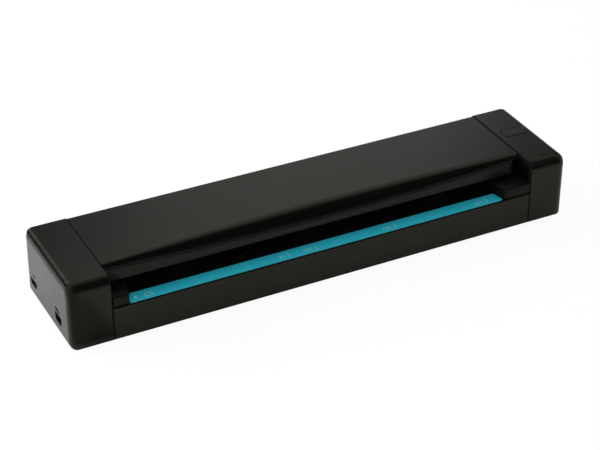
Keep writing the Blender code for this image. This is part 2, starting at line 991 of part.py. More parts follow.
def make_feed_strip():
    """The bright strip that the page's edge is laid on, its front edge just proud of the lip."""
    back = strip_front + strip_depth
    outline = []
    for side, order in ((-1, (strip_front, back)), (1, (back, strip_front))):
        for y in order:
            outline.append((mouth_edge(side, y) - side * seat_gap, y, block_radius))
    strip = swept("feed_strip", [rounded(outline)], "Z", paper_level - strip_thickness, paper_level)
    finished(strip, TEAL, ROOT)


def make_sensor(label, face_level, up, carrier):
    """A line sensor: a long housing whose face holds a glass and a white reference strip side by side."""
    left = mouth_shift - sensor_length / 2
    right = mouth_shift + sensor_length / 2
    front = sensor_middle - sensor_width / 2
    rear = sensor_middle + sensor_width / 2
    low, high = sorted((face_level, face_level - up * sensor_height))
    housing = block(f"{label}_sensor_housing", (left, front, low), (right, rear, high))
    if up > 0:
        glass_front = front + sensor_rim
        strip_front = glass_front + sensor_glass_width + sensor_rim
    else:
        glass_front = rear - sensor_rim - sensor_glass_width
        strip_front = glass_front - sensor_rim - sensor_strip_width
    bands = (
        (f"{label}_sensor_glass", glass_front, sensor_glass_width, GLASS),
        (f"{label}_white_strip", strip_front, sensor_strip_width, WHITE_PLASTIC),
    )
    for name, start, width, finish in bands:
        deep = face_level - up * (sensor_glass_thickness + seat_gap)
        pocket_low, pocket_high = sorted((face_level + up * overrun, deep))
        pocket = block(
            name + "_pocket",
            (left + sensor_rim - seat_gap, start - seat_gap, pocket_low),
            (right - sensor_rim + seat_gap, start + width + seat_gap, pocket_high),
        )
        cut(housing, pocket)
        plate_low, plate_high = sorted((face_level, face_level - up * sensor_glass_thickness))
        plate = block(
            name, (left + sensor_rim, start, plate_low), (right - sensor_rim, start + width, plate_high)
        )
        finished(plate, finish, carrier)
    finished(housing, BLACK_INNER, carrier)


def make_bush(label, line, side):
    """A bush in a side frame, its flange on the outer side."""
    bore = shaft_radius + seat_gap
    outside = bore + bush_wall
    flange = outside + bush_rim
    profile = [
        (bore, seam),
        (outside, seam),
        (outside, frame_outside + seat_gap),
        (flange, frame_outside + seat_gap),
        (flange, bush_end),
        (bore, bush_end),
    ]
    if side < 0:
        profile = [(radius, -x) for radius, x in reversed(profile)]
    word = "right" if side > 0 else "left"
    bush = turned(f"{label}_bush_{word}", profile, (line, drive_level), closed=True)
    finished(bush, NATURAL_PLASTIC, ROOT)


def make_drive_shaft(label, line, carrier):
    start = -bush_end - gear_standoff / 2
    end = gear_end + gear_standoff / 2
    profile = [
        (0, start),
        (shaft_radius - shaft_chamfer, start),
        (shaft_radius, start + shaft_chamfer),
        (shaft_radius, end - shaft_chamfer),
        (shaft_radius - shaft_chamfer, end),
        (0, end),
    ]
    shaft = turned(f"{label}_shaft", profile, (line, drive_level))
    finished(shaft, STEEL, carrier)


def make_drive_rollers(label, line, carrier):
    for index, x in enumerate(roller_places()):
        start = x - roller_length / 2
        end = x + roller_length / 2
        bore = shaft_radius + seat_gap
        profile = [
            (bore, start),
            (roller_radius - roller_chamfer, start),
            (roller_radius, start + roller_chamfer),
            (roller_radius, end - roller_chamfer),
            (roller_radius - roller_chamfer, end),
            (bore, end),
        ]
        roller = turned(f"{label}_roller_{index + 1}", profile, (line, drive_level), closed=True)
        finished(roller, RUBBER, carrier)


def make_gear(name, teeth, radius, place, phase, bore, carrier):
    outlines = [placed_outline(gear_outline(teeth, radius, phase), place)]
    outlines.append(ring_outline(place, bore, small_round_steps))
    gear = swept(name, outlines, "X", gear_start, gear_end)
    return finished(gear, NATURAL_PLASTIC, carrier)


def make_gears(feed_carrier, exit_carrier, idler_carrier):
    half_pitch = math.pi / gear_teeth
    bore = shaft_radius + seat_gap
    make_gear("feed_gear", gear_teeth, gear_radius, (feed_line, drive_level), half_pitch, bore, feed_carrier)
    make_gear("exit_gear", gear_teeth, gear_radius, (exit_line, drive_level), half_pitch, bore, exit_carrier)
    make_gear(
        "idler_gear", gear_teeth, gear_radius, (idler_line, drive_level), 0,
        stud_radius + seat_gap, idler_carrier,
    )


def make_motor_pinion(carrier):
    place = (motor_line, motor_level)
    phase = pinion_bearing + math.pi + math.pi / pinion_teeth
    outline = placed_outline(gear_outline(pinion_teeth, pinion_radius, phase), place)
    pinion = swept("motor_pinion", [outline], "X", gear_start, gear_end)
    shaft = rod(
        "motor_shaft", "X", place, gear_end - gear_width / 2,
        bracket_start + bracket_thickness + seat_gap + motor_shaft_reach,
        motor_shaft_radius, small_round_steps,
    )
    join(pinion, shaft)
    finished(pinion, STEEL, carrier)


def make_gear_bracket():
    """The plate outside the gears that the motor is fixed to, on three posts from the side frame."""
    low = cap_floor + seat_gap
    shoulder = motor_level - motor_radius - bracket_margin
    rear_shoulder = drive_level - stud_radius - bracket_margin
    high = motor_level + motor_flat
    left = motor_line - motor_radius - bracket_margin
    right = idler_line + gear_radius + bracket_margin
    foot = (feed_line + idler_line) / 2
    start = bracket_start
    outlines = [
        rounded([
            (left, shoulder, bracket_radius),
            (foot - bracket_foot, shoulder, bracket_radius / 2),
            (foot - bracket_foot, low, bracket_radius / 2),
            (foot + bracket_foot, low, bracket_radius / 2),
            (foot + bracket_foot, rear_shoulder, bracket_radius / 2),
            (right, rear_shoulder, bracket_radius),
            (right, high, bracket_radius),
            (left, high, bracket_radius),
        ]),
        ring_outline((motor_line, motor_level), motor_shaft_radius + 2 * seat_gap, small_round_steps),
    ]
    bracket = swept("gear_bracket", outlines, "X", start, start + bracket_thickness)
    inset = bracket_post_radius + seat_gap
    places = (
        (left + inset, high - inset),
        (right - inset, high - inset),
        (foot, low + inset),
    )
    for index, place in enumerate(places):
        post = rod(
            f"bracket_post_{index}", "X", place, frame_outside + seat_gap, start + bracket_thickness / 2,
            bracket_post_radius, small_round_steps,
        )
        join(bracket, post)
    finished(bracket, ZINC_PLATE, ROOT)


def make_drive_motor():
    """A small motor can with two flats, its shaft hole facing the bracket."""
    start = bracket_start + bracket_thickness + seat_gap
    end = start + motor_length
    half_arc = math.asin(motor_flat / motor_radius)
    outline = []
    for middle in (0, math.pi):
        for step in range(small_round_steps // 2 + 1):
            angle = middle - half_arc + 2 * half_arc * step / (small_round_steps // 2)
            outline.append((
                motor_line + motor_radius * math.cos(angle),
                motor_level + motor_radius * math.sin(angle),
            ))
    motor = swept("drive_motor", [outline], "X", start, end)
    boss = rod(
        "motor_boss", "X", (motor_line, motor_level), end - overrun, end + motor_boss_length,
        motor_boss_radius, small_round_steps,
    )
    join(motor, boss)
    hole = rod(
        "motor_shaft_hole", "X", (motor_line, motor_level), start - overrun,
        start + motor_shaft_reach + seat_gap, motor_shaft_radius + seat_gap, small_round_steps,
    )
    cut(motor, hole)
    finished(motor, ZINC_PLATE, ROOT)


def make_top_cover(carrier):
    """The cover's skin, lofted across its length.

    Each section runs up the rear wall, over the rear edge, along the flat top and down the curved front
    edge. That edge is deepest in the middle and shallow at the ends, so no two sections are alike.
    """
    rear = half_depth
    rear_low = underside + cover_rear_share * body_height
    front = frame_front
    shape = bmesh.new()
    rows = []
    for station in range(brow_stations + 1):
        x = middle_half * (2 * station / brow_stations - 1)
        section = [(rear, rear_low)]
        for step in range(corner_steps + 1):
            angle = math.pi / 2 * step / corner_steps
            section.append((
                rear - cover_rear_radius + cover_rear_radius * math.cos(angle),
                cover_level - cover_rear_radius + cover_rear_radius * math.sin(angle),
            ))
        start = brow_start(x)
        drop = cover_level - fascia_top(x) + fascia_tuck
        for step in range(brow_steps + 1):
            share = step / brow_steps
            section.append((start + (front - start) * share, cover_level - drop * share ** 2))
        rows.append([shape.verts.new((x, y, z)) for y, z in section])
    for near, far in zip(rows, rows[1:]):
        for index in range(len(near) - 1):
            shape.faces.new((near[index], near[index + 1], far[index + 1], far[index]))
    highest = max(shape.faces, key=lambda face: face.calc_center_median().z)
    highest.normal_update()
    if highest.normal.z < 0:
        bmesh.ops.reverse_faces(shape, faces=shape.faces)
    mesh = bpy.data.meshes.new("top_cover")
    shape.to_mesh(mesh)
    shape.free()
    cover = bpy.data.objects.new("top_cover", mesh)
    PARTS.objects.link(cover)
    shell = cover.modifiers.new("skin", "SOLIDIFY")
    shell.thickness = cover_skin
    shell.offset = -1
    shell.use_even_offset = True
    for side in (-1, 1):
        join(cover, make_hinge_ear(side))
    soften_rounds(cover)
    finished(cover, BLACK_SHELL, carrier)


def make_hinge_ear(side):
    """A lug under the cover's rear corner, bored for the hinge pin."""
    start, end = sorted((side * (middle_half - seat_gap), side * (middle_half - seat_gap - ear_thickness)))
    ear = swept(
        f"hinge_ear_{side}",
        [rounded([
            (hinge_line - ear_radius, hinge_level - ear_radius, ear_radius * ear_corner_share),
            (hinge_line + ear_radius, hinge_level - ear_radius, ear_radius * ear_corner_share),
            (hinge_line + ear_radius, cover_level - cover_skin / 2, 0),
            (hinge_line - ear_radius, cover_level - cover_skin / 2, 0),
        ])],
        "X", start, end,
    )
    bore = rod(
        f"hinge_ear_bore_{side}", "X", (hinge_line, hinge_level), start - overrun, end + overrun,
        hinge_pin_radius + seat_gap, small_round_steps,
    )
    cut(ear, bore)
    return ear


def make_fascia(carrier):
    """The upright strip under the cover's front edge: its top follows the edge above it."""
    outline = [(fascia_left, fascia_bottom), (fascia_right, fascia_bottom)]
    for station in range(brow_stations + 1):
        x = fascia_right + (fascia_left - fascia_right) * station / brow_stations
        outline.append((x, fascia_top(x)))
    fascia = swept("fascia", [outline], "Y", fascia_front, fascia_rear)

    def radius_of(first, second):
        at_front = max(first.y, second.y) < fascia_front + seat_gap / 2
        upright = abs(first.z - second.z) > (fascia_top(fascia_right) - fascia_bottom) / 2
        if not at_front:
            return 0
        return fascia_end_radius if upright and first.x > 0 else fascia_edge_radius

    round_edges(fascia, radius_of, fascia_end_radius, 3)
    finished(fascia, BLACK_SHELL, carrier)


def make_upper_frame(carrier):
    """The upper paper guide with its throat, two cheeks, and the ledges of the pinch springs."""
    throat_top = fascia_bottom + seat_gap
    web_top = throat_top + front_web_height
    throat_end = frame_front + throat_run
    guide_top = guide_level + guide_thickness
    rear = half_depth - guide_rear_share * body_depth
    rise = math.atan2(throat_top - guide_level, throat_run)
    shift = guide_thickness * math.tan(rise / 2)
    web_shift = guide_thickness * math.tan((math.pi / 2 - rise) / 2)
    outline = rounded([
        (frame_front, web_top, 0),
        (frame_front, throat_top, guide_thickness / 3),
        (throat_end, guide_level, guide_thickness),
        (rear, guide_level, guide_thickness / 3),
        (rear, guide_top, 0),
        (throat_end + shift, guide_top, 0),
        (frame_front + guide_thickness, throat_top + web_shift, 0),
        (frame_front + guide_thickness, web_top, 0),
    ])
    frame = swept("upper_frame", [outline], "X", -cheek_outside, cheek_outside)
    ceiling = cover_underside - seat_gap
    slope_start = brow_start(cheek_outside) + cover_skin
    slope_drop = cover_level - fascia_top(cheek_outside)
    for side in (-1, 1):
        start, end = sorted((side * cheek_outside, side * (cheek_outside - cheek_thickness)))
        cheek = swept(
            f"cheek_{side}",
            [[
                (frame_front, throat_top + guide_thickness / 3),
                (throat_end + guide_thickness / 3, guide_level + guide_thickness / 3),
                (rear, guide_level + guide_thickness / 3),
                (rear, ceiling),
                (slope_start, ceiling),
                (frame_front, ceiling - slope_drop - seat_gap),
            ]],
            "X", start, end,
        )
        join(frame, cheek)
        for line in (feed_line, exit_line):
            join(frame, make_spring_ledge(side, line))
    cut_upper_windows(frame)
    finished(frame, BLACK_INNER, carrier)


def spring_levels():
    """The heights of a pinch spring's foot and of its clamped end."""
    foot = pinch_level + pinch_axle_radius + seat_gap
    return foot, foot + spring_rise


def make_spring_ledge(side, line):
    top = spring_levels()[1] - seat_gap
    inner = cheek_outside - cheek_thickness - spring_ledge_length
    start, end = sorted((side * inner, side * (cheek_outside - cheek_thickness / 2)))
    return block(
        f"spring_ledge_{side}_{'feed' if line < 0 else 'exit'}",
        (start, line - spring_width / 2, top - spring_ledge_height),
        (end, line + spring_width / 2, top),
    )


def cut_upper_windows(frame):
    """Windows for the pinch rollers' lands and the sensor, and the holes for the rollers' ends."""
    half_land = pinch_land_length / 2 + seat_gap
    for label, line in (("front", feed_line), ("rear", exit_line)):
        for index, x in enumerate(roller_places()):
            window = block(
                f"upper_{label}_window_{index}",
                (x - half_land, line - pinch_radius - seat_gap, guide_level - overrun),
                (x + half_land, line + pinch_radius + seat_gap, pinch_level + pinch_radius),
            )
            cut(frame, window)
        slot = swept(
            f"upper_{label}_axle_slot",
            [rounded([
                (line - pinch_axle_radius - seat_gap, pinch_level - pinch_axle_radius - seat_gap, 0),
                (line + pinch_axle_radius + seat_gap, pinch_level - pinch_axle_radius - seat_gap, 0),
                (line + pinch_axle_radius + seat_gap, pinch_level + pinch_axle_radius + seat_gap, 0),
                (line - pinch_axle_radius - seat_gap, pinch_level + pinch_axle_radius + seat_gap, 0),
            ])],
            "X", -cheek_outside - overrun, cheek_outside + overrun,
        )
        cut(frame, slot)
    sensor_window = block(
        "upper_sensor_window",
        (
            mouth_shift - sensor_length / 2 - seat_gap,
            sensor_middle - sensor_width / 2 - seat_gap,
            guide_level - overrun,
        ),
        (
            mouth_shift + sensor_length / 2 + seat_gap,
            sensor_middle + sensor_width / 2 + seat_gap,
            guide_level + guide_thickness + overrun,
        ),
    )
    cut(frame, sensor_window)


def make_pinch_roller(label, line, carrier):
    """A moulded roller: one long axle with a land over each drive roller."""
    end = cheek_outside - seat_gap
    profile = [(0, -end), (pinch_axle_radius, -end)]
    for x in roller_places():
        profile.append((pinch_axle_radius, x - pinch_land_length / 2))
        profile.append((pinch_radius, x - pinch_land_length / 2))
        profile.append((pinch_radius, x + pinch_land_length / 2))
        profile.append((pinch_axle_radius, x + pinch_land_length / 2))
    profile.append((pinch_axle_radius, end))
    profile.append((0, end))
    roller = turned(f"{label}_pinch_roller", profile, (line, pinch_level))
    finished(roller, NATURAL_PLASTIC, carrier)


def make_pinch_spring(label, line, side, carrier):
    """A leaf clamped on its ledge that bends down to press on the roller's axle."""
    foot, root = spring_levels()
    outer = cheek_outside - cheek_thickness - seat_gap
    bend = outer - spring_ledge_length - seat_gap
    tip = bend - spring_slope_run
    toe = tip - spring_foot_length
    path = [(outer, root), (bend, root), (tip, foot), (toe, foot)]
    outline = path + [(x, z + spring_thickness) for x, z in reversed(path)]
    outline = [(side * x, z) for x, z in outline]
    word = "right" if side > 0 else "left"
    spring = swept(
        f"pinch_spring_{label}_{word}", [outline], "Y", line - spring_width / 2, line + spring_width / 2
    )
    finished(spring, STEEL, carrier)


def make_hinge_pin(side):
    inner = seam - seat_gap - ear_thickness - 2 * seat_gap
    head_start = frame_outside + seat_gap
    head_end = head_start + hinge_pin_head_length
    profile = [
        (0, inner),
        (hinge_pin_radius - shaft_chamfer, inner),
        (hinge_pin_radius, inner + shaft_chamfer),
        (hinge_pin_radius, head_start),
        (hinge_pin_head, head_start),
        (hinge_pin_head, head_end),
        (0, head_end),
    ]
    if side < 0:
        profile = [(radius, -x) for radius, x in reversed(profile)]
    word = "right" if side > 0 else "left"
    pin = turned(f"hinge_pin_{word}", profile, (hinge_line, hinge_level), steps=small_round_steps)
    finished(pin, STEEL, ROOT)


def make_scan_button(carrier):
    """The button's face, the flange that keeps it in its opening, and the stem above the switch."""
    face = swept("scan_button", [button_outline(0)], "Z", button_flange_top, top_level + button_proud)
    top = top_level + button_proud

    def radius_of(first, second):
        return button_edge if min(first.z, second.z) > top - button_edge / 2 else 0

    round_edges(face, radius_of, button_edge, 3)
    flange = swept(
        "button_flange", [button_outline(button_flange)], "Z",
        button_flange_top - button_flange_thickness, button_flange_top,
    )
    join(face, flange)
    stem = rod(
        "button_stem", "Z", (button_x, button_y), button_stem_bottom, top_level - overrun,
        button_stem_radius, small_round_steps,
    )
    join(face, stem)
    finished(face, BLACK_SHELL, carrier)


def make_button_switch():
    base = button_board_top + seat_gap
    body = block(
        "button_switch",
        (button_x - switch_side / 2, button_y - switch_side / 2, base),
        (button_x + switch_side / 2, button_y + switch_side / 2, base + switch_height),
    )
    cap = rod(
        "switch_cap", "Z", (button_x, button_y), base + switch_height / 2, switch_top,
        switch_cap_radius, small_round_steps,
    )
    join(body, cap)
    finished(body, ZINC_PLATE, ROOT)
    board = block(
        "button_board",
        (frame_outside + seat_gap, button_y - button_board_width / 2, button_board_top - board_thickness),
        (
            frame_outside + seat_gap + button_board_length,
            button_y + button_board_width / 2,
            button_board_top,
        ),
    )
    finished(board, BOARD_GREEN, ROOT)


def make_port(label, y, width, tall):
    """A socket: a metal shell that is open to the outside, with a tongue inside."""
    mouth = -half_length + port_recess
    back = mouth + port_depth
    place = (y, port_level)
    shell = swept(f"{label}_port_shell", [port_outline(place, width, tall, 0)], "X", mouth, back)
    hollow = swept(
        f"{label}_port_hollow", [port_outline(place, width, tall, -port_metal)],
        "X", mouth - overrun, back - port_metal,
    )
    cut(shell, hollow)
    finished(shell, STEEL, ROOT)
    half = port_tongue_share * width / 2
    tongue = block(
        f"{label}_port_tongue",
        (mouth + port_tongue_recess, y - half, port_level - port_tongue_thickness / 2),
        (back - port_metal - seat_gap, y + half, port_level + port_tongue_thickness / 2),
    )
    finished(tongue, BLACK_INNER, ROOT)


def make_port_board():
    start = -half_length + cap_wall + seat_gap
    board = block(
        "port_board",
        (start, front_port_y - port_board_margin, port_board_top - board_thickness),
        (start + port_board_length, rear_port_y + port_board_margin, port_board_top),
    )
    finished(board, BOARD_GREEN, ROOT)


def make_main_board():
    """The controller board over the tray's ribs, with its larger chips."""
    rear = half_depth - main_board_rear_inset
    front = rear - main_board_width
    left = -main_board_left
    top = main_board_bottom + main_board_thickness
    board = block("main_board", (left, front, main_board_bottom), (left + main_board_length, rear, top))
    centre_x = left + main_board_length / 2
    centre_y = (front + rear) / 2
    for index, (along, across, length, width) in enumerate(chip_places):
        x = centre_x + along * main_board_length
        y = centre_y + across * main_board_width
        chip = block(
            f"board_chip_{index}",
            (x - length / 2, y - width / 2, top - main_board_thickness / 2),
            (x + length / 2, y + width / 2, top + chip_height),
        )
        join(board, chip)
    finished(board, BOARD_GREEN, ROOT)


def make_paper_flag(carrier):
    """A two-armed lever: the upper arm stands in the page's way, the lower one trips the sensor."""
    half = flag_thickness / 2
    outline = rounded([
        (flag_line - half, flag_level - flag_tail, half / 2),
        (flag_line + half, flag_level - flag_tail, half / 2),
        (flag_line + half, flag_level + flag_reach, half / 2),
        (flag_line - half, flag_level + flag_reach, half / 2),
    ])
    flag = swept("paper_flag", [outline], "X", flag_x - flag_width / 2, flag_x + flag_width / 2)
    axle = rod(
        "flag_axle", "X", (flag_line, flag_level), flag_x - flag_axle_length / 2,
        flag_x + flag_axle_length / 2, flag_axle_radius, small_round_steps,
    )
    join(flag, axle)
    finished(flag, BLACK_INNER, carrier)


def make_foot(side, row):
    place = (side * (seam + foot_from_seam), row * (half_depth - foot_inset))
    names = ("front" if row < 0 else "rear", "left" if side < 0 else "right")
    foot = rod(
        f"foot_{names[0]}_{names[1]}", "Z", place, 0, underside + foot_recess - seat_gap,
        foot_radius, round_steps,
    )
    finished(foot, RUBBER, ROOT)


def make_cap_screw(side, row):
    place = (side * (seam + screw_from_seam), row * (half_depth - screw_inset))
    names = ("front" if row < 0 else "rear", "left" if side < 0 else "right")
    head_bottom = underside + screw_counterbore - seat_gap - screw_head_height
    head = rod(
        f"cap_screw_{names[0]}_{names[1]}", "Z", place, head_bottom, head_bottom + screw_head_height,
        screw_head_radius, small_round_steps,
    )
    shank = rod(
        f"screw_shank_{names[0]}_{names[1]}", "Z", place, head_bottom + screw_head_height / 2,
        cap_floor + lug_height, screw_radius, small_round_steps,
    )
    join(head, shank)
    finished(head, STEEL, ROOT)


def make_base():
    make_lower_housing()
    make_paper_bed()
    make_feed_strip()
    make_left_cap()
    make_right_cap()
    make_left_frame()
    make_right_frame()
    make_sensor("lower", paper_level - sensor_face_drop, 1, ROOT)
    for side in (-1, 1):
        for label, line in (("feed", feed_line), ("exit", exit_line)):
            make_bush(label, line, side)
        make_hinge_pin(side)
        for row in (-1, 1):
            make_foot(side, row)
            make_cap_screw(side, row)
    make_gear_bracket()
    make_drive_motor()
    make_main_board()
    make_port_board()
    make_port("front", front_port_y, front_port_width, front_port_tall)
    make_port("rear", rear_port_y, rear_port_width, rear_port_tall)
    make_button_switch()


def make_cover():
    hinge = empty_at("cover_hinge_axis", (0, hinge_line, hinge_level))
    make_top_cover(hinge)
    make_fascia(hinge)
    make_upper_frame(hinge)
    make_sensor("upper", guide_level + sensor_face_drop, -1, hinge)
    for label, line in (("front", feed_line), ("rear", exit_line)):
        spin = empty_at(f"{label}_pinch_axis", (0, line, pinch_level))
        make_pinch_roller(label, line, spin)
        for side in (-1, 1):
            make_pinch_spring(label, line, side, hinge)


def make_drive():
    feed = empty_at("feed_axis", (0, feed_line, drive_level))
    leave = empty_at("exit_axis", (0, exit_line, drive_level))
    idler = empty_at("idler_axis", (0, idler_line, drive_level))
    motor = empty_at("motor_axis", (0, motor_line, motor_level))
    for label, line, carrier in (("feed", feed_line, feed), ("exit", exit_line, leave)):
        make_drive_shaft(label, line, carrier)
        make_drive_rollers(label, line, carrier)
    make_gears(feed, leave, idler)
    make_motor_pinion(motor)


def make_controls():
    press = empty_at("button_axis", (button_x, button_y, top_level))
    make_scan_button(press)
    pivot = empty_at("flag_axis", (flag_x, flag_line, flag_level))
    make_paper_flag(pivot)


for leftover in list(bpy.data.objects):
    bpy.data.objects.remove(leftover)

PARTS = collection_named("sheet_fed_scanner")
TOOLS = collection_named("shaping_tools")
ROOT = empty_at("scanner", (0, 0, 0))
make_base()
make_cover()
make_drive()
make_controls()
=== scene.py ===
# %% [markdown]
# # A sheet-fed scanner, dressed for its picture
#
# The scanner is a black bar, a little longer than a page is wide. A page goes in at the front,
# over a teal strip, past two contact sensors, and comes out at the back. Its shapes come from the
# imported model, which is the frame that everything here is fitted to. This file gives each piece
# the surface of the real one, prints the marks on it, and sets up light and camera.

import math

import bmesh
import bpy
from mathutils import Matrix, Vector


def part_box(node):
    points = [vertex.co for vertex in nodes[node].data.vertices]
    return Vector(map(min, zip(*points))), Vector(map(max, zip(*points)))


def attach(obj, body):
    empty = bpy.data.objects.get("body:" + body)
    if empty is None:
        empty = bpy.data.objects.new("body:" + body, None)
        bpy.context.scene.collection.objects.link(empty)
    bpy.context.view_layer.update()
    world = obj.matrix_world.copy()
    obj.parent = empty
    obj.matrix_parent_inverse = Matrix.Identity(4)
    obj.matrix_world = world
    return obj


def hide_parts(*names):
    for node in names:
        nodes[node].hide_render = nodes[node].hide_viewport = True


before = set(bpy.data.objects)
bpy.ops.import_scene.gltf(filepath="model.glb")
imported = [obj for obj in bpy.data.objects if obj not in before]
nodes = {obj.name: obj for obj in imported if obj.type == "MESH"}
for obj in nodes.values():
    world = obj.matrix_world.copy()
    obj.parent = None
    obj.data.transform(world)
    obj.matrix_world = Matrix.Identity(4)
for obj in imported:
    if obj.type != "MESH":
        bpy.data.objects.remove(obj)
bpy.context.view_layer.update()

# %% [markdown]
# ## Sizes in plain words
#
# Blender works in metres here. Lengths below are written in millimetres and turned into metres
# once, so that a number can be compared with a ruler. Directions have names too, because
# "number 1 of 3" says nothing about a scanner.

# %% Units and directions
MM = 0.001
ALONG, ACROSS, UP = range(3)


def mm(*values):
    """Millimetres as metres: one number, or a tuple of them."""
    return values[0] * MM if len(values) == 1 else tuple(v * MM for v in values)


# %% [markdown]
# ## Writing shaders as sentences
#
# A finish is a small sum: a colour, plus a little dirt, minus a little gloss where fingers rub.
# Wiring such a sum by hand hides it. `Field` wraps one socket, so `0.4 + 0.1 * grain` adds the
# Math nodes by itself, and `node` adds any other node from its type, settings and sockets.


# %% A socket that can be added and multiplied
class Field:
    """One output socket of a node tree, on which sums are written as sums."""

    def __init__(self, tree, socket=None):
        self.tree = tree
        self.socket = socket

    def node(self, kind, settings=None, sockets=None, out=0):
        """A new shader node: its settings come first, then a value or a link for each socket."""
        made = self.tree.nodes.new("ShaderNode" + kind)
        for name, value in (settings or {}).items():
            setattr(made, name, value)
        for name, value in (sockets or {}).items():
            if isinstance(value, Field):
                self.tree.links.new(value.socket, made.inputs[name])
            else:
                made.inputs[name].default_value = value
        return Field(self.tree, made.outputs[out])

    def maths(self, operation, first, second=0.0):
        return self.node("Math", {"operation": operation}, {0: first, 1: second})

    def __add__(self, other):
        return self.maths("ADD", self, other)

    __radd__ = __add__

    def __sub__(self, other):
        return self.maths("SUBTRACT", self, other)

    def __rsub__(self, other):
        return self.maths("SUBTRACT", other, self)

    def __mul__(self, other):
        return self.maths("MULTIPLY", self, other)

    __rmul__ = __mul__

    def __abs__(self):
        return self.maths("ABSOLUTE", self)

    def limited(self, low=0.0, high=1.0):
        return self.maths("MINIMUM", self.maths("MAXIMUM", self, low), high)

    def between(self, low, high):
        """0 below low, 1 above high, and a smooth step from one to the other."""
        return self.node(
            "MapRange",
            {"interpolation_type": "SMOOTHSTEP"},
            {"Value": self, "From Min": low, "From Max": high},
        )

    def colour(self, start, end):
        """The colour start where this is 0, and end where it is 1."""
        return self.node("Mix", {"data_type": "RGBA"}, {0: self, 6: start, 7: end}, out=2)

    def direction(self, start, end):
        """The direction start where this is 0, and end where it is 1."""
        return self.node("Mix", {"data_type": "VECTOR"}, {0: self, 4: start, 5: end}, out=1)


# %% [markdown]
# ## What every finish starts from
#
# Each material is a Principled shader whose patterns read Object coordinates. Every piece of the
# frame sits at the origin with its place in its mesh, so those coordinates are metres in the
# real scanner, and a grain of 0.3 mm is a scale of a few thousand.


# %% Colours
def opaque(red, green, blue):
    return (red, green, blue, 1.0)


def grey(level):
    return opaque(level, level, level)


def shades(level, paler, blue=1.0):
    """A dark grey and one that is so many times paler. Less blue makes both warmer."""
    return [opaque(tone, tone, tone * blue) for tone in (level, level * paler)]


# %% Helpers that begin and end a material
MOULDED_EDGE = mm(0.3)


class Finish(Field):
    """A new material, with its shader and its object coordinates."""

    def __init__(self, name, **constants):
        self.material = bpy.data.materials.new(name)
        self.material.use_nodes = True
        tree = self.material.node_tree
        super().__init__(tree, tree.nodes.new("ShaderNodeTexCoord").outputs["Object"])
        self.shader = tree.nodes["Principled BSDF"]
        for socket, value in constants.items():
            self.shader.inputs[socket.replace("_", " ")].default_value = value

    def noise(self, size, detail=2.0, roughness=0.5, stretch=None):
        """Cloudy noise whose blobs are about size metres across."""
        place = self
        if stretch:
            place = self.node("Mapping", {}, {"Vector": self, "Scale": stretch})
        sockets = {"Vector": place, "Scale": 1 / size, "Detail": detail, "Roughness": roughness}
        return self.node("TexNoise", {}, sockets)

    def cells(self, size, distance="EUCLIDEAN"):
        """Distance to the nearest of scattered points that are about size metres apart."""
        settings = {"feature": "F1", "distance": distance}
        return self.node("TexVoronoi", settings, {"Vector": self, "Scale": 1 / size})

    def rounded(self, radius, samples=4):
        """The normals of a surface whose crisp edges are broken by this radius."""
        return self.node("Bevel", {"samples": samples}, {"Radius": radius})

    def axis(self, number):
        """One coordinate of a place, in metres: ALONG the scanner, ACROSS it or UP."""
        return self.node("SeparateXYZ", {}, {0: self}, out=number)

    def rubbed_edges(self, radius):
        """1 on crisp edges, polished by handling, 0 on flats. Paler edges are partly a painted
        highlight.
        """
        sockets = {0: self.rounded(radius), 1: self.node("NewGeometry", {}, {}, out="Normal")}
        alike = self.node("VectorMath", {"operation": "DOT_PRODUCT"}, sockets, out="Value")
        return (1 - alike).between(0.01, 0.16)

    def set(self, **fields):
        for socket, value in fields.items():
            self.tree.links.new(value.socket, self.shader.inputs[socket.replace("_", " ")])

    def relief(self, height, depth, strength, normal=None):
        """Turns a height from 0 to 1, depth metres tall, into the shader's normals."""
        sockets = {"Strength": strength, "Distance": depth, "Height": height}
        sockets["Normal"] = normal or self.rounded(MOULDED_EDGE)
        self.set(Normal=self.node("Bump", {}, sockets))


FINISHES = {}


def finish_nodes(finish, *names):
    """Gives a finished material to pieces of the frame."""
    for name in names:
        mesh = nodes[name].data
        mesh.materials.clear()
        mesh.materials.append(finish.material)
        FINISHES[name] = finish.material.name
    print(finish.material.name, "on", ", ".join(names))


# %% [markdown]
# ## The textured black shell
#
# The end caps, cover and lower housing are moulded ABS. The mould is spark-eroded, which leaves a
# grain of about 0.3 mm that breaks up reflections. Fingers polish the crisp edges first, and
# their paler colour there is partly a painted highlight along the edges. The fine grain goes in
# as bump, and slow clouds of skin oil change only how sharp the gloss is.
# Some edges are softer than the rest: the cover's brow over the slot, and the end caps' outer
# front corners and front top edges. There the normals turn over a wider band with faded ends.
# Dust settles in the seams beside the caps, and has no gloss.

# %% Where the seams and the soft edges lie
SEAM = (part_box("right_end_cap")[0].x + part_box("top_cover")[1].x) / 2
SEAM_DUST = mm(0.35, 0.6)
BROW_ROLL, CAP_ROLL, SOFT_SAMPLES = mm(2), mm(4), 8
# Each pair below is where a fade starts and where it ends.
BROW_SIDES, BROW_REAR = mm(112, 121), mm(-4, 2)
CAP_FRONT = mm(-27, -24)
CORNER_SIDE, CORNER_TOP = mm(139, 142), mm(31, 35)
TOP_EDGE_SIDE, TOP_EDGE_HEIGHT = mm(126, 129), mm(29, 32)
print("seams between caps and body at", round(SEAM / MM, 2), "mm from the middle")


# %% Soft edges
def seam_dust(shell):
    """1 within half a millimetre of the planes where the end caps meet the body."""
    return 1 - abs(abs(shell.axis(ALONG)) - SEAM).between(*SEAM_DUST)


def softly(shell, share, radius):
    """Normals of crisp moulded edges, which turn over this radius instead where share is 1."""
    crisp, soft = shell.rounded(MOULDED_EDGE), shell.rounded(radius, SOFT_SAMPLES)
    return share.direction(crisp, soft)


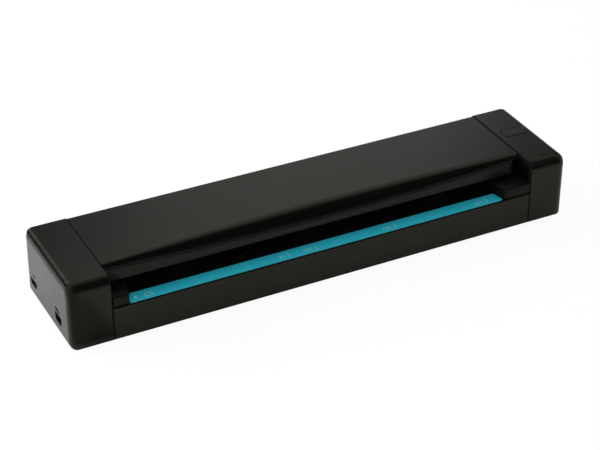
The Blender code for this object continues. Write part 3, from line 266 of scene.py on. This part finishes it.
def soft_brow(shell):
    """Soft at the brow, where the cover's top rolls down over the slot."""
    middle = 1 - abs(shell.axis(ALONG)).between(*BROW_SIDES)
    front = 1 - shell.axis(ACROSS).between(*BROW_REAR)
    return softly(shell, middle * front, BROW_ROLL)


def soft_corners(shell):
    """Soft at the end caps' upright outer front corners, and along the edge above their front."""
    away, height = abs(shell.axis(ALONG)), shell.axis(UP)
    front = 1 - shell.axis(ACROSS).between(*CAP_FRONT)
    corner = away.between(*CORNER_SIDE) * (1 - height.between(*CORNER_TOP))
    top_edge = away.between(*TOP_EDGE_SIDE) * height.between(*TOP_EDGE_HEIGHT)
    return softly(shell, front * (corner + top_edge).limited(), CAP_ROLL)


# %% Black shell
WARM_GLOSS = opaque(0.95, 1.0, 0.72)
PLASTIC = {"Specular_Tint": WARM_GLOSS, "IOR": 1.5}


def textured_shell(name, level, grain_depth, turn):
    """turn is a function of the finish that returns the normals that the grain sits on."""
    shell = Finish(name, Specular_IOR_Level=0.2, **PLASTIC)
    grain = 0.6 * shell.noise(mm(0.34), 3.0, 0.6) + 0.4 * shell.cells(mm(0.42))
    oil = shell.noise(mm(38), 3.0, 0.55).between(0.35, 0.75)
    dust = shell.noise(mm(0.9), 4.0, 0.7).between(0.66, 0.74)
    edge = shell.rubbed_edges(mm(0.35))
    # Paler crisp edges are wear, and partly a painted highlight along them.
    tone = (0.25 * oil + 0.12 * grain + 0.5 * edge + 0.1 * dust).limited()
    shell.set(Base_Color=tone.colour(*shades(level, paler=2.1, blue=0.95)))
    gloss = 0.24 + 0.04 * grain - 0.04 * oil - 0.08 * edge + 0.76 * seam_dust(shell)
    shell.set(Roughness=gloss.limited(0.15, 1.0))
    shell.relief(grain * (1 - 0.8 * edge), grain_depth, 0.5, turn(shell))
    return shell


finish_nodes(
    textured_shell("textured_black_shell", 0.003, mm(0.008), soft_corners),
    "left_end_cap",
    "right_end_cap",
    "lower_housing",
)
# The cover is a touch darker than the caps: a painted shade that darkens its brow.
finish_nodes(textured_shell("textured_black_cover", 0.0022, mm(0.012), soft_brow), "top_cover")

# %% [markdown]
# ## The fascia and the button
#
# The fascia is the long smooth band above the slot. It and the button come from polished mould
# faces, so they get a finer, flatter grain. Right under the brow the fascia sees almost nothing
# but the brow, so its upper rim gets a painted shade: a darker colour, and no gloss.

# %% The painted shade on the fascia's upper rim
# The rim is an arc: this far from the middle to each end, this high in the middle, and higher
# by this much at its ends.
ARC_REACH, ARC_HEIGHT, ARC_RISE = mm(118, 32.85, 3.35)
RIM_SHADE = mm(0.7, 1.7)


def under_brow(satin):
    """Painted shade: 1 on the fascia's top 0.7 mm, and 0 from 1.7 mm under its rim downwards."""
    along = satin.axis(ALONG) * (1 / ARC_REACH)
    drop = ARC_HEIGHT + ARC_RISE * (along * along) - satin.axis(UP)
    return 1 - drop.between(*RIM_SHADE)


# %% Satin fascia and button
def satin_black(name, level, painted_rim_shade=None):
    """The optional function of the finish gives 1 where a painted shade darkens it and takes its
    gloss.
    """
    satin = Finish(name, Specular_IOR_Level=0.18, **PLASTIC)
    ripple = satin.noise(mm(0.2), 2.0, 0.5)
    smudge = satin.noise(mm(17), 3.0, 0.6).between(0.4, 0.8)
    edge = satin.rubbed_edges(mm(0.3))
    # The painted shade darkens the colour and takes away the gloss under the brow.
    shade = painted_rim_shade(satin) if painted_rim_shade else 0.0
    # Paler crisp edges are wear, and partly a painted highlight along them.
    tone = (0.3 * smudge + 0.6 * edge - shade).limited()
    satin.set(Base_Color=tone.colour(*shades(level, paler=2.2)))
    gloss = 0.34 + 0.08 * smudge - 0.1 * edge + 0.04 * ripple + 0.6 * shade
    satin.set(Roughness=gloss.limited(0.15, 1.0))
    satin.relief(ripple, mm(0.004), 0.4)
    return satin


# The fascia's upper rim gets the painted shade under the brow.
finish_nodes(satin_black("satin_black_fascia", 0.006, under_brow), "fascia")
finish_nodes(satin_black("satin_black_button", 0.004), "scan_button")

# %% [markdown]
# ## The paper path
#
# The bed and everything behind the slot is slick black plastic. Pages leave faint streaks on it
# along the feed direction, so its noise is stretched that way.

# %% Slick inner plastic with page streaks
ALONG_FEED = (1.0, 0.06, 1.0)


def page_path():
    slick = Finish("inner_black_plastic", Specular_IOR_Level=0.12, **PLASTIC)
    streaks = slick.noise(mm(1.2), 3.0, 0.6, stretch=ALONG_FEED)
    grain = slick.noise(mm(0.25), 2.0, 0.5)
    edge = slick.rubbed_edges(mm(0.25))
    # Paler crisp edges are wear, and partly a painted highlight along them.
    tone = (0.35 * streaks.between(0.45, 0.7) + 0.25 * edge).limited()
    slick.set(Base_Color=tone.colour(*shades(0.0022, paler=2.4)))
    slick.set(Roughness=(0.36 + 0.16 * streaks - 0.08 * edge).limited(0.15, 0.7))
    slick.relief(0.5 * grain + 0.5 * streaks, mm(0.008), 0.4)
    return slick


finish_nodes(
    page_path(),
    "paper_bed",
    "upper_frame",
    "left_side_frame",
    "right_side_frame",
    "paper_flag",
    "lower_sensor_housing",
    "upper_sensor_housing",
    "front_port_tongue",
    "rear_port_tongue",
)

# %% [markdown]
# ## The teal guide strip
#
# The strip that the page slides over is dyed right through. It is a satin plastic, a little
# greener and darker in the dye's thin places. Pages scuff it lengthwise, and its front edge is
# polished by them; its paler edges are partly a painted highlight.


# %% Teal strip
def teal_plastic():
    teal = Finish("satin_teal_strip", Specular_IOR_Level=0.3, IOR=1.5)
    clouds = teal.noise(mm(14), 3.0, 0.5, stretch=(0.4, 1.0, 1.0))
    scuffs = teal.noise(mm(0.35), 3.0, 0.6, stretch=(1.0, 0.05, 1.0)).between(0.55, 0.8)
    edge = teal.rubbed_edges(mm(0.3))
    deep = opaque(0.012, 0.38, 0.49)
    pale = opaque(0.06, 0.5, 0.6)
    # Paler crisp edges are wear, and partly a painted highlight along them.
    tone = (0.4 * clouds + 0.2 * scuffs + 0.8 * edge).limited()
    teal.set(Base_Color=tone.colour(deep, pale))
    teal.set(Roughness=(0.3 + 0.12 * scuffs + 0.06 * clouds).limited())
    teal.relief(0.7 * scuffs + 0.3 * clouds, mm(0.006), 0.5)
    return teal


finish_nodes(teal_plastic(), "feed_strip")

# %% [markdown]
# ## Rubber, acetal and the boards
#
# Rollers are ground rubber, with fine scratches round them and a bloom of paper dust. Gears,
# bushes and pinch rollers are natural acetal, slightly waxy. The boards are green lacquer over
# copper tracks, which show as a brighter pattern of fine straight runs.

# %% Rubber
ENDS_AND_SIDES = [f"{end}_{side}" for end in ("front", "rear") for side in ("left", "right")]


def ground_rubber(name, level):
    rubber = Finish(name, Specular_IOR_Level=0.05, IOR=1.52)
    rings = rubber.noise(mm(0.18), 2.0, 0.6, stretch=(1.0, 0.08, 0.08))
    bloom = rubber.noise(mm(2.6), 4.0, 0.65).between(0.42, 0.75)
    tone = (0.3 * bloom + 0.2 * rings).limited()
    rubber.set(Base_Color=tone.colour(*shades(level, paler=3.2)))
    rubber.set(Roughness=(0.68 + 0.2 * bloom).limited())
    rubber.relief(rings, mm(0.03), 0.7)
    return rubber


rollers = [f"{shaft}_roller_{n}" for shaft in ("feed", "exit") for n in (1, 2, 3)]
finish_nodes(ground_rubber("ground_roller_rubber", 0.003), *rollers)
feet = [f"foot_{corner}" for corner in ENDS_AND_SIDES]
finish_nodes(ground_rubber("soft_foot_rubber", 0.006), *feet)


# %% Acetal
def waxy_acetal():
    waxy = Finish("natural_acetal", Specular_IOR_Level=0.4, IOR=1.48)
    flow = waxy.noise(mm(3.2), 3.0, 0.5)
    grease = waxy.noise(mm(1.4), 3.0, 0.6).between(0.6, 0.75)
    tone = (0.5 * flow + 0.4 * grease).limited()
    waxy.set(Base_Color=tone.colour(opaque(0.72, 0.7, 0.64), opaque(0.55, 0.52, 0.44)))
    waxy.set(Roughness=(0.4 - 0.15 * grease).limited())
    waxy.relief(flow, mm(0.01), 0.4)
    return waxy


finish_nodes(
    waxy_acetal(),
    *[f"{shaft}_bush_{side}" for shaft in ("feed", "exit") for side in ("left", "right")],
    "feed_gear",
    "exit_gear",
    "idler_gear",
    "front_pinch_roller",
    "rear_pinch_roller",
)


# %% Boards
def green_board():
    board = Finish("green_circuit_board", Specular_IOR_Level=0.5, IOR=1.5)
    grid = board.cells(mm(2.2), "CHEBYCHEV")
    tracks = grid.between(0.36, 0.4) * (1 - grid.between(0.44, 0.48))
    lacquer = board.noise(mm(5), 2.0, 0.5)
    plain = lacquer.colour(opaque(0.012, 0.1, 0.045), opaque(0.02, 0.14, 0.065))
    copper = tracks.colour(plain, opaque(0.06, 0.24, 0.1))
    board.set(Base_Color=copper, Roughness=0.3 + 0.1 * lacquer)
    board.relief(tracks, mm(0.035), 0.6)
    return board


finish_nodes(green_board(), "main_board", "port_board", "button_board")

# %% [markdown]
# ## Metals
#
# Shafts and pins are ground steel, with scratches round the axis. Screws, springs, the gear
# bracket and the motor can are zinc plated, which dries in large dull flakes. The socket shells
# are dull tin plate, coloured near black as a painted shade for the dark inside of the sockets,
# and the pinion is turned brass.

# %% Metals
ROUND_THE_AXIS = (1.0, 0.05, 0.05)


def plated(name, dark, pale, roughness, flake, brushed=None, glance=1.0):
    """glance is how much light the metal mirrors where it is seen edge on."""
    metal = Finish(name, Metallic=1.0, Specular_Tint=grey(glance))
    flakes = metal.cells(flake).between(0.1, 0.8)
    scratch = metal.noise(mm(0.12), 2.0, 0.6, stretch=brushed)
    edge = metal.rubbed_edges(mm(0.15))
    # Paler crisp edges are wear, and partly a painted highlight along them.
    tone = (0.5 * flakes + 0.3 * scratch + 0.4 * edge).limited()
    metal.set(Base_Color=tone.colour(dark, pale))
    gloss = roughness + 0.14 * flakes + 0.1 * scratch - 0.1 * edge
    metal.set(Roughness=gloss.limited(0.08, 0.8))
    metal.relief(scratch, mm(0.006), 0.4)
    return metal


steel = plated("ground_steel", grey(0.5), grey(0.66), 0.2, mm(4), ROUND_THE_AXIS)
pale_zinc = opaque(0.62, 0.62, 0.63)
zinc = plated("zinc_plate", opaque(0.42, 0.43, 0.45), pale_zinc, 0.3, mm(1.6))
# The socket shells' near black colour is a painted shade for the inside of the sockets.
tin_painted_dark = plated("tin_plate_painted_dark", grey(0.015), grey(0.04), 0.5, mm(0.8), glance=0.1)
dark_brass, pale_brass = opaque(0.55, 0.39, 0.15), opaque(0.74, 0.56, 0.26)
brass = plated("turned_brass", dark_brass, pale_brass, 0.22, mm(2), ROUND_THE_AXIS)

screws = [f"cap_screw_{corner}" for corner in ENDS_AND_SIDES]
springs = [f"pinch_spring_{corner}" for corner in ENDS_AND_SIDES]
finish_nodes(steel, "feed_shaft", "exit_shaft", "hinge_pin_left", "hinge_pin_right")
finish_nodes(zinc, "gear_bracket", "drive_motor", "button_switch", *screws, *springs)
finish_nodes(tin_painted_dark, "front_port_shell", "rear_port_shell")
finish_nodes(brass, "motor_pinion")

# %% [markdown]
# ## Sensor glass and the white reference strips
#
# Each contact sensor looks through a clear window at a white strip opposite, from which it learns
# what white is. The glass is thin and almost colourless, with a breath of dust on it.


# %% Glass and white film
def clear_window():
    glass = Finish("sensor_glass", Transmission_Weight=0.92, IOR=1.5)
    dust = glass.noise(mm(1.1), 4.0, 0.7).between(0.58, 0.8)
    glass.set(Base_Color=dust.colour(opaque(0.86, 0.93, 0.92), opaque(0.7, 0.72, 0.7)))
    glass.set(Roughness=(0.03 + 0.3 * dust).limited())
    glass.relief(dust, mm(0.002), 0.3)
    return glass


def white_film():
    film = Finish("white_reference_film", Specular_IOR_Level=0.35)
    shade = film.noise(mm(6), 3.0, 0.5)
    specks = film.noise(mm(0.4), 3.0, 0.7).between(0.68, 0.74)
    film.set(Base_Color=(0.4 * shade + 0.3 * specks).colour(grey(0.8), opaque(0.6, 0.58, 0.54)))
    film.set(Roughness=0.5 + 0.15 * shade)
    film.relief(shade, mm(0.01), 0.3)
    return film


finish_nodes(clear_window(), "lower_sensor_glass", "upper_sensor_glass")
finish_nodes(white_film(), "lower_white_strip", "upper_white_strip")
print("pieces without a finish:", sorted(set(nodes) - set(FINISHES)))

# %% [markdown]
# ## Repeating a small bar
#
# Ticks on the strip and contacts in the sockets are one bar, repeated. A Geometry Nodes group
# does that: it puts a bar on every point of the mesh that it is given. Its sizes are inputs, so
# one group serves them all. The result is baked to a plain mesh, and the modifier goes.

# %% A node group that repeats a bar
BAR_SIZES = ("Width", "Length", "Height")


def bar_group():
    group = bpy.data.node_groups.new("bar_on_every_point", "GeometryNodeTree")
    inputs = [("Points", "Geometry"), *((name, "Float") for name in BAR_SIZES)]
    for name, kind in [*inputs, ("Material", "Material")]:
        group.interface.new_socket(name, in_out="INPUT", socket_type="NodeSocket" + kind)
    group.interface.new_socket("Bars", in_out="OUTPUT", socket_type="NodeSocketGeometry")
    new, link = group.nodes.new, group.links.new
    entry, leave = new("NodeGroupInput"), new("NodeGroupOutput")
    size, cube = new("ShaderNodeCombineXYZ"), new("GeometryNodeMeshCube")
    spread, real = new("GeometryNodeInstanceOnPoints"), new("GeometryNodeRealizeInstances")
    paint = new("GeometryNodeSetMaterial")
    for axis, name in zip("XYZ", BAR_SIZES):
        link(entry.outputs[name], size.inputs[axis])
    link(size.outputs[0], cube.inputs["Size"])
    link(entry.outputs["Points"], spread.inputs["Points"])
    link(cube.outputs["Mesh"], spread.inputs["Instance"])
    link(spread.outputs["Instances"], real.inputs["Geometry"])
    link(real.outputs["Geometry"], paint.inputs["Geometry"])
    link(entry.outputs["Material"], paint.inputs["Material"])
    link(paint.outputs["Geometry"], leave.inputs["Bars"])
    return group


BARS = bar_group()
print("bar group with", len(BARS.nodes), "nodes")

# %% [markdown]
# ## From drawing to plain mesh
#
# Text, curves and modifiers are ways to draw a piece, but only a mesh can be exported and can
# ride on a body. Each drawing is baked, its seams are closed, and its place goes into its mesh.

# %% Baking
SAME_PLACE = mm(0.001)


def shown(name, data, place=(0, 0, 0)):
    """A new object in the scene."""
    item = bpy.data.objects.new(name, data)
    item.location = place
    bpy.context.scene.collection.objects.link(item)
    return item


def close_seams(mesh):
    """Merges the corners that lie on each other, so that no edge is left open."""
    shape = bmesh.new()
    shape.from_mesh(mesh)
    bmesh.ops.remove_doubles(shape, verts=shape.verts, dist=SAME_PLACE)
    shape.to_mesh(mesh)
    shape.free()


def plain_piece(name, source, finish, body):
    """Bakes an object with its modifiers to a plain mesh at the origin that rides on a body."""
    bpy.context.view_layer.update()
    graph = bpy.context.evaluated_depsgraph_get()
    mesh = bpy.data.meshes.new_from_object(source.evaluated_get(graph))
    close_seams(mesh)
    mesh.shade_flat()
    mesh.transform(source.matrix_world)
    mesh.name = name
    mesh.materials.clear()
    mesh.materials.append(finish.material)
    bpy.data.objects.remove(source)
    piece = shown(name, mesh)
    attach(piece, body)
    print(name, "has", len(mesh.polygons), "faces and rides on", body)
    return piece


def bars(name, places, size, finish, body):
    """One bar of that width, length and height centred on each place."""
    dots = bpy.data.meshes.new(name + "_points")
    dots.from_pydata([Vector(place) for place in places], [], [])
    source = shown(name + "_source", dots)
    modifier = source.modifiers.new("bars", "NODES")
    modifier.node_group = BARS
    values = dict(zip(BAR_SIZES, size), Material=finish.material)
    for item in BARS.interface.items_tree:
        if item.name in values:
            modifier[item.identifier] = values[item.name]
    return plain_piece(name, source, finish, body)


# %% [markdown]
# ## Marks
#
# The strip has a tick for each common page width, with its distance from the left stop as a
# plain number, and at the stop an arrow and the outline of a page. The button carries a ring
# round a dot, and a small sign stands above each socket. All are pad printed, a few hundredths of
# a millimetre thick.


# %% Printing inks
def ink(name, thin, full, shine):
    pad_print = Finish(name, Specular_IOR_Level=shine, IOR=1.5)
    cover = pad_print.noise(mm(0.3), 3.0, 0.6)
    pad_print.set(Base_Color=cover.colour(full, thin), Roughness=0.7 + 0.2 * cover)
    pad_print.relief(cover, mm(0.004), 0.3)
    return pad_print


PRINT_RISE = mm(0.02)
pale_ink = ink("pale_strip_ink", opaque(0.12, 0.5, 0.6), opaque(0.42, 0.72, 0.8), 0.3)
grey_ink = ink("grey_button_ink", grey(0.045), grey(0.09), 0.2)
dark_ink = ink("dark_socket_ink", grey(0.003), grey(0.001), 0.0)

# %% Ticks and numbers on the strip
STOP = mm(-114.7)
PAGE_WIDTHS = (91, 107, 155, 213)
TICK = (mm(0.4), mm(4.2), 2 * PRINT_RISE)
TICK_LINE, NUMBER_LINE = mm(-26.4), mm(-28.0)
NUMBER_HEIGHT, DIGIT_WIDTH, NUMBER_GAP = mm(3.6, 2.3, 0.9)
CURVE_STEPS = 3
strip_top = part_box("feed_strip")[1].z
ticks = [(STOP + mm(width), TICK_LINE, strip_top) for width in PAGE_WIDTHS]
bars("strip_ticks", ticks, TICK, pale_ink, "base")


def lettered(name, text, height, place, finish, body):
    """A plain number, flat on a top, whose lower left corner is at place."""
    words = bpy.data.curves.new(name, "FONT")
    words.body, words.size = text, height
    words.extrude, words.resolution_u = PRINT_RISE, CURVE_STEPS
    return plain_piece(name, shown(name + "_source", words, place), finish, body)


for width in PAGE_WIDTHS:
    number = str(width)
    start = STOP + mm(width) - (DIGIT_WIDTH * len(number) + NUMBER_GAP)
    corner = (start, NUMBER_LINE, strip_top)
    lettered(f"strip_number_{width}", number, NUMBER_HEIGHT, corner, pale_ink, "base")

# %% Outlines
RING_CORNERS = 28


def box_outline(width, height):
    x, y = width / 2, height / 2
    return [(-x, -y), (x, -y), (x, y), (-x, y)]


def nested_boxes(*sizes):
    """One box for each width and height in millimetres, all round the same middle."""
    return [box_outline(*mm(*size)) for size in sizes]


def ring_outline(radius):
    turns = [2 * math.pi * n / RING_CORNERS for n in range(RING_CORNERS)]
    return [(radius * math.cos(turn), radius * math.sin(turn)) for turn in turns]


def flat_sign(name, outlines, matrix, finish, body):
    """Closed outlines, filled by the even-odd rule, laid out in the plane that matrix gives."""
    curve = bpy.data.curves.new(name, "CURVE")
    curve.dimensions, curve.fill_mode, curve.extrude = "2D", "BOTH", PRINT_RISE
    for outline in outlines:
        spline = curve.splines.new("POLY")
        spline.points.add(len(outline) - 1)
        spline.use_cyclic_u = True
        for point, (x, y) in zip(spline.points, outline):
            point.co = (x, y, 0, 1)
    source = shown(name + "_source", curve)
    source.matrix_world = matrix
    return plain_piece(name, source, finish, body)


# %% Signs on the strip and the button
def on_top(x, y, level):
    return Matrix.Translation((x, y, level))


arrow = [mm(-1.1, 0), mm(0.9, -1.1), mm(0.9, 1.1)]
page = nested_boxes((4.4, 2.8), (3.7, 2.1))
ARROW_PLACE, PAGE_PLACE = mm(-110.8, -26.6), mm(-103.4, -26.9)
flat_sign("strip_arrow", [arrow], on_top(*ARROW_PLACE, strip_top), pale_ink, "base")
flat_sign("strip_page", page, on_top(*PAGE_PLACE, strip_top), pale_ink, "base")

RING_OUTSIDE, RING_INSIDE, RING_DOT, RING_SHIFT = mm(1.15, 0.75, 0.45, 0.4)
button_low, button_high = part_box("scan_button")
button_middle = (button_low + button_high) / 2
ring = [ring_outline(RING_OUTSIDE), ring_outline(RING_INSIDE), box_outline(RING_DOT, RING_DOT)]
ring_place = on_top(button_middle.x - RING_SHIFT, button_middle.y, button_high.z)
flat_sign("button_ring", ring, ring_place, grey_ink, "button")

# %% Signs above the sockets
left_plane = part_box("left_end_cap")[0].x


def on_left_face(y, z):
    """Signs on the left end face read from outside: their right is towards the front."""
    basis = Matrix(((0, 0, -1), (-1, 0, 0), (0, 1, 0))).to_4x4()
    return Matrix.Translation((left_plane, y, z)) @ basis


FRONT_SIGN_PLACE, REAR_SIGN_PLACE = mm(-13.1, 14.7), mm(20.3, 14.6)
power_sign = nested_boxes((6.6, 1.9), (5.4, 0.8), (3.4, 0.34))
flat_sign("front_socket_sign", power_sign, on_left_face(*FRONT_SIGN_PLACE), dark_ink, "base")
card_sign = nested_boxes((2.8, 1.5), (1.7, 0.5))
flat_sign("rear_socket_sign", card_sign, on_left_face(*REAR_SIGN_PLACE), dark_ink, "base")

# %% [markdown]
# ## Socket contacts and screw heads
#
# Each socket's tongue carries a row of gilt contacts, and each cap screw a cross recess. The
# screws are rebuilt from their own shape with the recess cut out, and stand in for the plain ones.

# %% Contacts
gilt = plated("gilt_contact", opaque(0.35, 0.26, 0.1), opaque(0.5, 0.38, 0.16), 0.3, mm(0.5))
CONTACTS, CONTACT_PITCH, CONTACT_INSET = 5, mm(0.65), mm(2.2)
CONTACT_SIZE = mm(3.4, 0.3, 0.04)
for label in ("front", "rear"):
    tongue_low, tongue_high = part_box(f"{label}_port_tongue")
    middle = (tongue_low + tongue_high) / 2
    first = middle.y - CONTACT_PITCH * (CONTACTS - 1) / 2
    inset = tongue_low.x + CONTACT_INSET
    places = [(inset, first + n * CONTACT_PITCH, tongue_high.z) for n in range(CONTACTS)]
    bars(f"{label}_port_contacts", places, CONTACT_SIZE, gilt, "base")

# %% Cross recesses
ARM_REACH, ARM_WIDTH, CROSS_DEPTH = mm(1.35, 0.34, 0.7)
MOUTH_SHARE, TIP_SHARE = 1.2, 0.55


def cross_outline():
    """A cross with four arms: one arm's corners, turned a quarter three times."""
    arm = [(-ARM_WIDTH, -ARM_REACH), (ARM_WIDTH, -ARM_REACH), (ARM_WIDTH, -ARM_WIDTH)]
    cross = []
    for _ in range(4):
        cross += arm
        arm = [(-b, a) for a, b in arm]
    return cross


def recess_cutter(name, x, y, face):
    """A tapered cross that reaches as far over a face that looks down as it sinks into it."""
    cross = cross_outline()
    count = len(cross)
    levels = ((face - CROSS_DEPTH, MOUTH_SHARE), (face + CROSS_DEPTH, TIP_SHARE))
    corners = [(x + a * share, y + b * share, z) for z, share in levels for a, b in cross]
    following = [(n + 1) % count for n in range(count)]
    faces = [(n, after, after + count, n + count) for n, after in enumerate(following)]
    faces += [tuple(reversed(range(count))), tuple(range(count, 2 * count))]
    mesh = bpy.data.meshes.new(name)
    mesh.from_pydata(corners, [], faces)
    return shown(name, mesh)


def crossed_screw(node):
    """The screw with a cross sunk into the face that looks down."""
    low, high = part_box(node)
    cutter = recess_cutter(node + "_recess", (low.x + high.x) / 2, (low.y + high.y) / 2, low.z)
    shape = nodes[node].data.copy()
    close_seams(shape)
    source = shown(node + "_source", shape)
    recess = source.modifiers.new("recess", "BOOLEAN")
    recess.operation, recess.solver, recess.object = "DIFFERENCE", "EXACT", cutter
    piece = plain_piece(node.replace("screw", "cross_screw"), source, zinc, "base")
    bpy.data.objects.remove(cutter)
    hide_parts(node)


for screw in screws:
    crossed_screw(screw)

# %% [markdown]
# ## Camera
#
# The viewpoint was worked out from the photograph's edges: where the corners of a bar this size
# have to stand, seen from a camera this far away. The picture is 600 by 450.

# %% Camera
TURN, RISE, ROLL = (math.radians(v) for v in (-28.225, 32.7822, 1.1464))
DISTANCE, FOCAL_PIXELS, PICTURE_WIDTH = mm(937.696), 1738.716, 600
SIDESTEP, CLIMB = mm(-2.9026, -3.1304)
AIM = Vector(mm(0, 0, 20))

flat = math.cos(RISE)
back = Vector((math.sin(TURN) * flat, -math.cos(TURN) * flat, math.sin(RISE)))
level_right = Vector((math.cos(TURN), math.sin(TURN), 0))
level_up = back.cross(level_right)
right = math.cos(ROLL) * level_right + math.sin(ROLL) * level_up
up = math.cos(ROLL) * level_up - math.sin(ROLL) * level_right
camera = shown("camera", bpy.data.cameras.new("camera"))
camera.matrix_world = Matrix((right, up, back)).transposed().to_4x4()
camera.location = AIM + DISTANCE * back + SIDESTEP * right + CLIMB * up
camera.data.sensor_width = 36.0
camera.data.lens = FOCAL_PIXELS * camera.data.sensor_width / PICTURE_WIDTH
bpy.context.scene.camera = camera
bpy.context.scene.view_settings.view_transform = "Standard"
print("lens", round(camera.data.lens, 1), "mm at", [round(v, 3) for v in camera.location])

# %% [markdown]
# ## A white room
#
# The picture's background is pure white. Rays from the camera, and those that mirror or pass
# through glass, see a white room, while the light that falls on the scanner stays at a plain
# level from soft panels. The floor is white too, and keeps a faint shadow under the scanner.

# %% World and floor
ROOM_LIGHT, ROOM_STRENGTH = opaque(0.96, 0.98, 1.0), 0.35
FLOOR_WIDTH, FLOOR_SEEN, FLOOR_MIRRORED = 6.0, 0.93, 0.25


def seen_directly(field, camera=1.0, mirrored=1.0):
    """How far the camera, through glass or not, and mirrors see a surface as plain white."""
    outputs = field.node("LightPath").socket.node.outputs
    kinds = ("Camera", "Glossy", "Transmission")
    direct, glossy, through = (Field(field.tree, outputs[f"Is {kind} Ray"]) for kind in kinds)
    return (camera * direct + mirrored * glossy + camera * through).limited()


def white_room():
    world = bpy.data.worlds.new("white_room")
    world.use_nodes = True
    bpy.context.scene.world = world
    field = Field(world.node_tree)
    soft = field.node("Background", {}, {"Color": ROOM_LIGHT, "Strength": ROOM_STRENGTH})
    white = field.node("Background", {}, {"Color": grey(1.0), "Strength": 1.0})
    mixed = field.node("MixShader", {}, {0: seen_directly(field), 1: soft, 2: white})
    output = world.node_tree.nodes["World Output"]
    world.node_tree.links.new(mixed.socket, output.inputs["Surface"])


def rectangle(name, width, height, finish):
    """A flat sheet round the origin that faces up."""
    x, y = width / 2, height / 2
    mesh = bpy.data.meshes.new(name)
    mesh.from_pydata([(-x, -y, 0), (x, -y, 0), (x, y, 0), (-x, y, 0)], [], [(0, 1, 2, 3)])
    mesh.materials.append(finish.material)
    return shown(name, mesh)


def white_paper():
    matt = Finish("white_floor", Specular_IOR_Level=0.0, Roughness=0.9)
    matt.set(Base_Color=matt.noise(mm(3), 2.0, 0.5).colour(grey(0.93), grey(0.95)))
    glow = matt.node("Emission", {}, {"Color": grey(1.0), "Strength": 1.0})
    plain = Field(matt.tree, matt.shader.outputs["BSDF"])
    share = seen_directly(matt, FLOOR_SEEN, FLOOR_MIRRORED)
    mixed = matt.node("MixShader", {}, {0: share, 1: plain, 2: glow})
    output = matt.tree.nodes["Material Output"]
    matt.tree.links.new(mixed.socket, output.inputs["Surface"])
    return matt


white_room()
floor = rectangle("floor", FLOOR_WIDTH, FLOOR_WIDTH, white_paper())
print("white room, with a floor", FLOOR_WIDTH, "m wide")

# %% [markdown]
# ## Lamps and dark cards
#
# Black plastic has hardly any colour of its own: what the eye reads as its form is what it
# mirrors. In a studio, black felt is hung beside such goods, and each face then mirrors either
# the white room or a dark card. The cards here are seen only by mirrored rays, so they take no
# light away. Most panels are hidden from mirrored rays, so that no lamp shows on a flat face.
# Only the edge panel and the glint panel are mirrored, as thin light lines along rounded edges.


# %% A lamp and a card
def towards(place, aim, front):
    """The turn that points a thing's front from place to aim."""
    return (Vector(aim) - Vector(place)).to_track_quat(front, "Y").to_euler()


def soft_panel(name, place, aim, size, watts, glossy=False):
    """A lamp with a width and a height, which mirrors show only if it is glossy."""
    lamp = bpy.data.lights.new(name, "AREA")
    lamp.shape, lamp.energy = "RECTANGLE", watts
    lamp.size, lamp.size_y = size
    panel = shown(name, lamp, place)
    panel.rotation_euler = towards(place, aim, "-Z")
    panel.visible_glossy = glossy


def felt(name, level):
    cloth = Finish(name, Specular_IOR_Level=0.0, Roughness=1.0)
    cloth.set(Base_Color=cloth.noise(mm(2)).colour(grey(level), grey(3 * level)))
    return cloth


def dark_card(name, place, facing, size, cloth):
    """A card of felt that only mirrored rays see."""
    card = rectangle(name, *size, cloth)
    card.location = place
    card.rotation_euler = towards(place, facing, "Z")
    card.visible_camera = card.visible_diffuse = False
    card.visible_shadow = card.visible_transmission = False


# %% Where they stand, in metres
MIDDLE, MIDDLE_TOP = (0, 0, 0.02), (0, 0, 0.1)
PANELS = {
    "key_panel": ((-1.1, 0.75, 0.42), (-0.1, 0, 0.02), (0.8, 0.5), 26.5),
    "top_panel": ((0.3, 0.7, 1.5), MIDDLE, (1.0, 0.6), 6.0),
    "front_panel": ((-0.4, -1.3, 0.9), MIDDLE, (0.6, 0.6), 8.0),
    "edge_panel": ((-0.37, 1.17, 0.95), (-0.147, 0, 0.038), (0.3, 0.25), 3.0, True),
    "glint_panel": ((-0.63, -0.35, 1.16), (0, 0, 0.03), (0.25, 0.25), 1.5, True),
}
black_felt, grey_felt = felt("black_felt", 0.002), felt("grey_felt", 0.21)
CARDS = {
    "ceiling_card": ((-0.1, -0.8, 1.3), (-0.1, -0.8, 0), (2.6, 1.6), black_felt),
    "front_card": ((0.6, -1.6, 0.7), MIDDLE_TOP, (3.2, 1.3), black_felt),
    "rear_left_card": ((-0.71, 1.76, 0.95), MIDDLE_TOP, (2.97, 1.2), black_felt),
    "rear_right_card": ((1.7, 0.848, 0.95), MIDDLE_TOP, (1.7, 1.2), black_felt),
    "corner_card": ((-0.3605, -0.317, 0.002), (-0.3605, -0.317, 1), (0.479, 0.566), grey_felt),
}
for name, row in PANELS.items():
    soft_panel(name, *row)
for name, row in CARDS.items():
    dark_card(name, *row)
print("panels:", *PANELS, "and cards:", *CARDS)
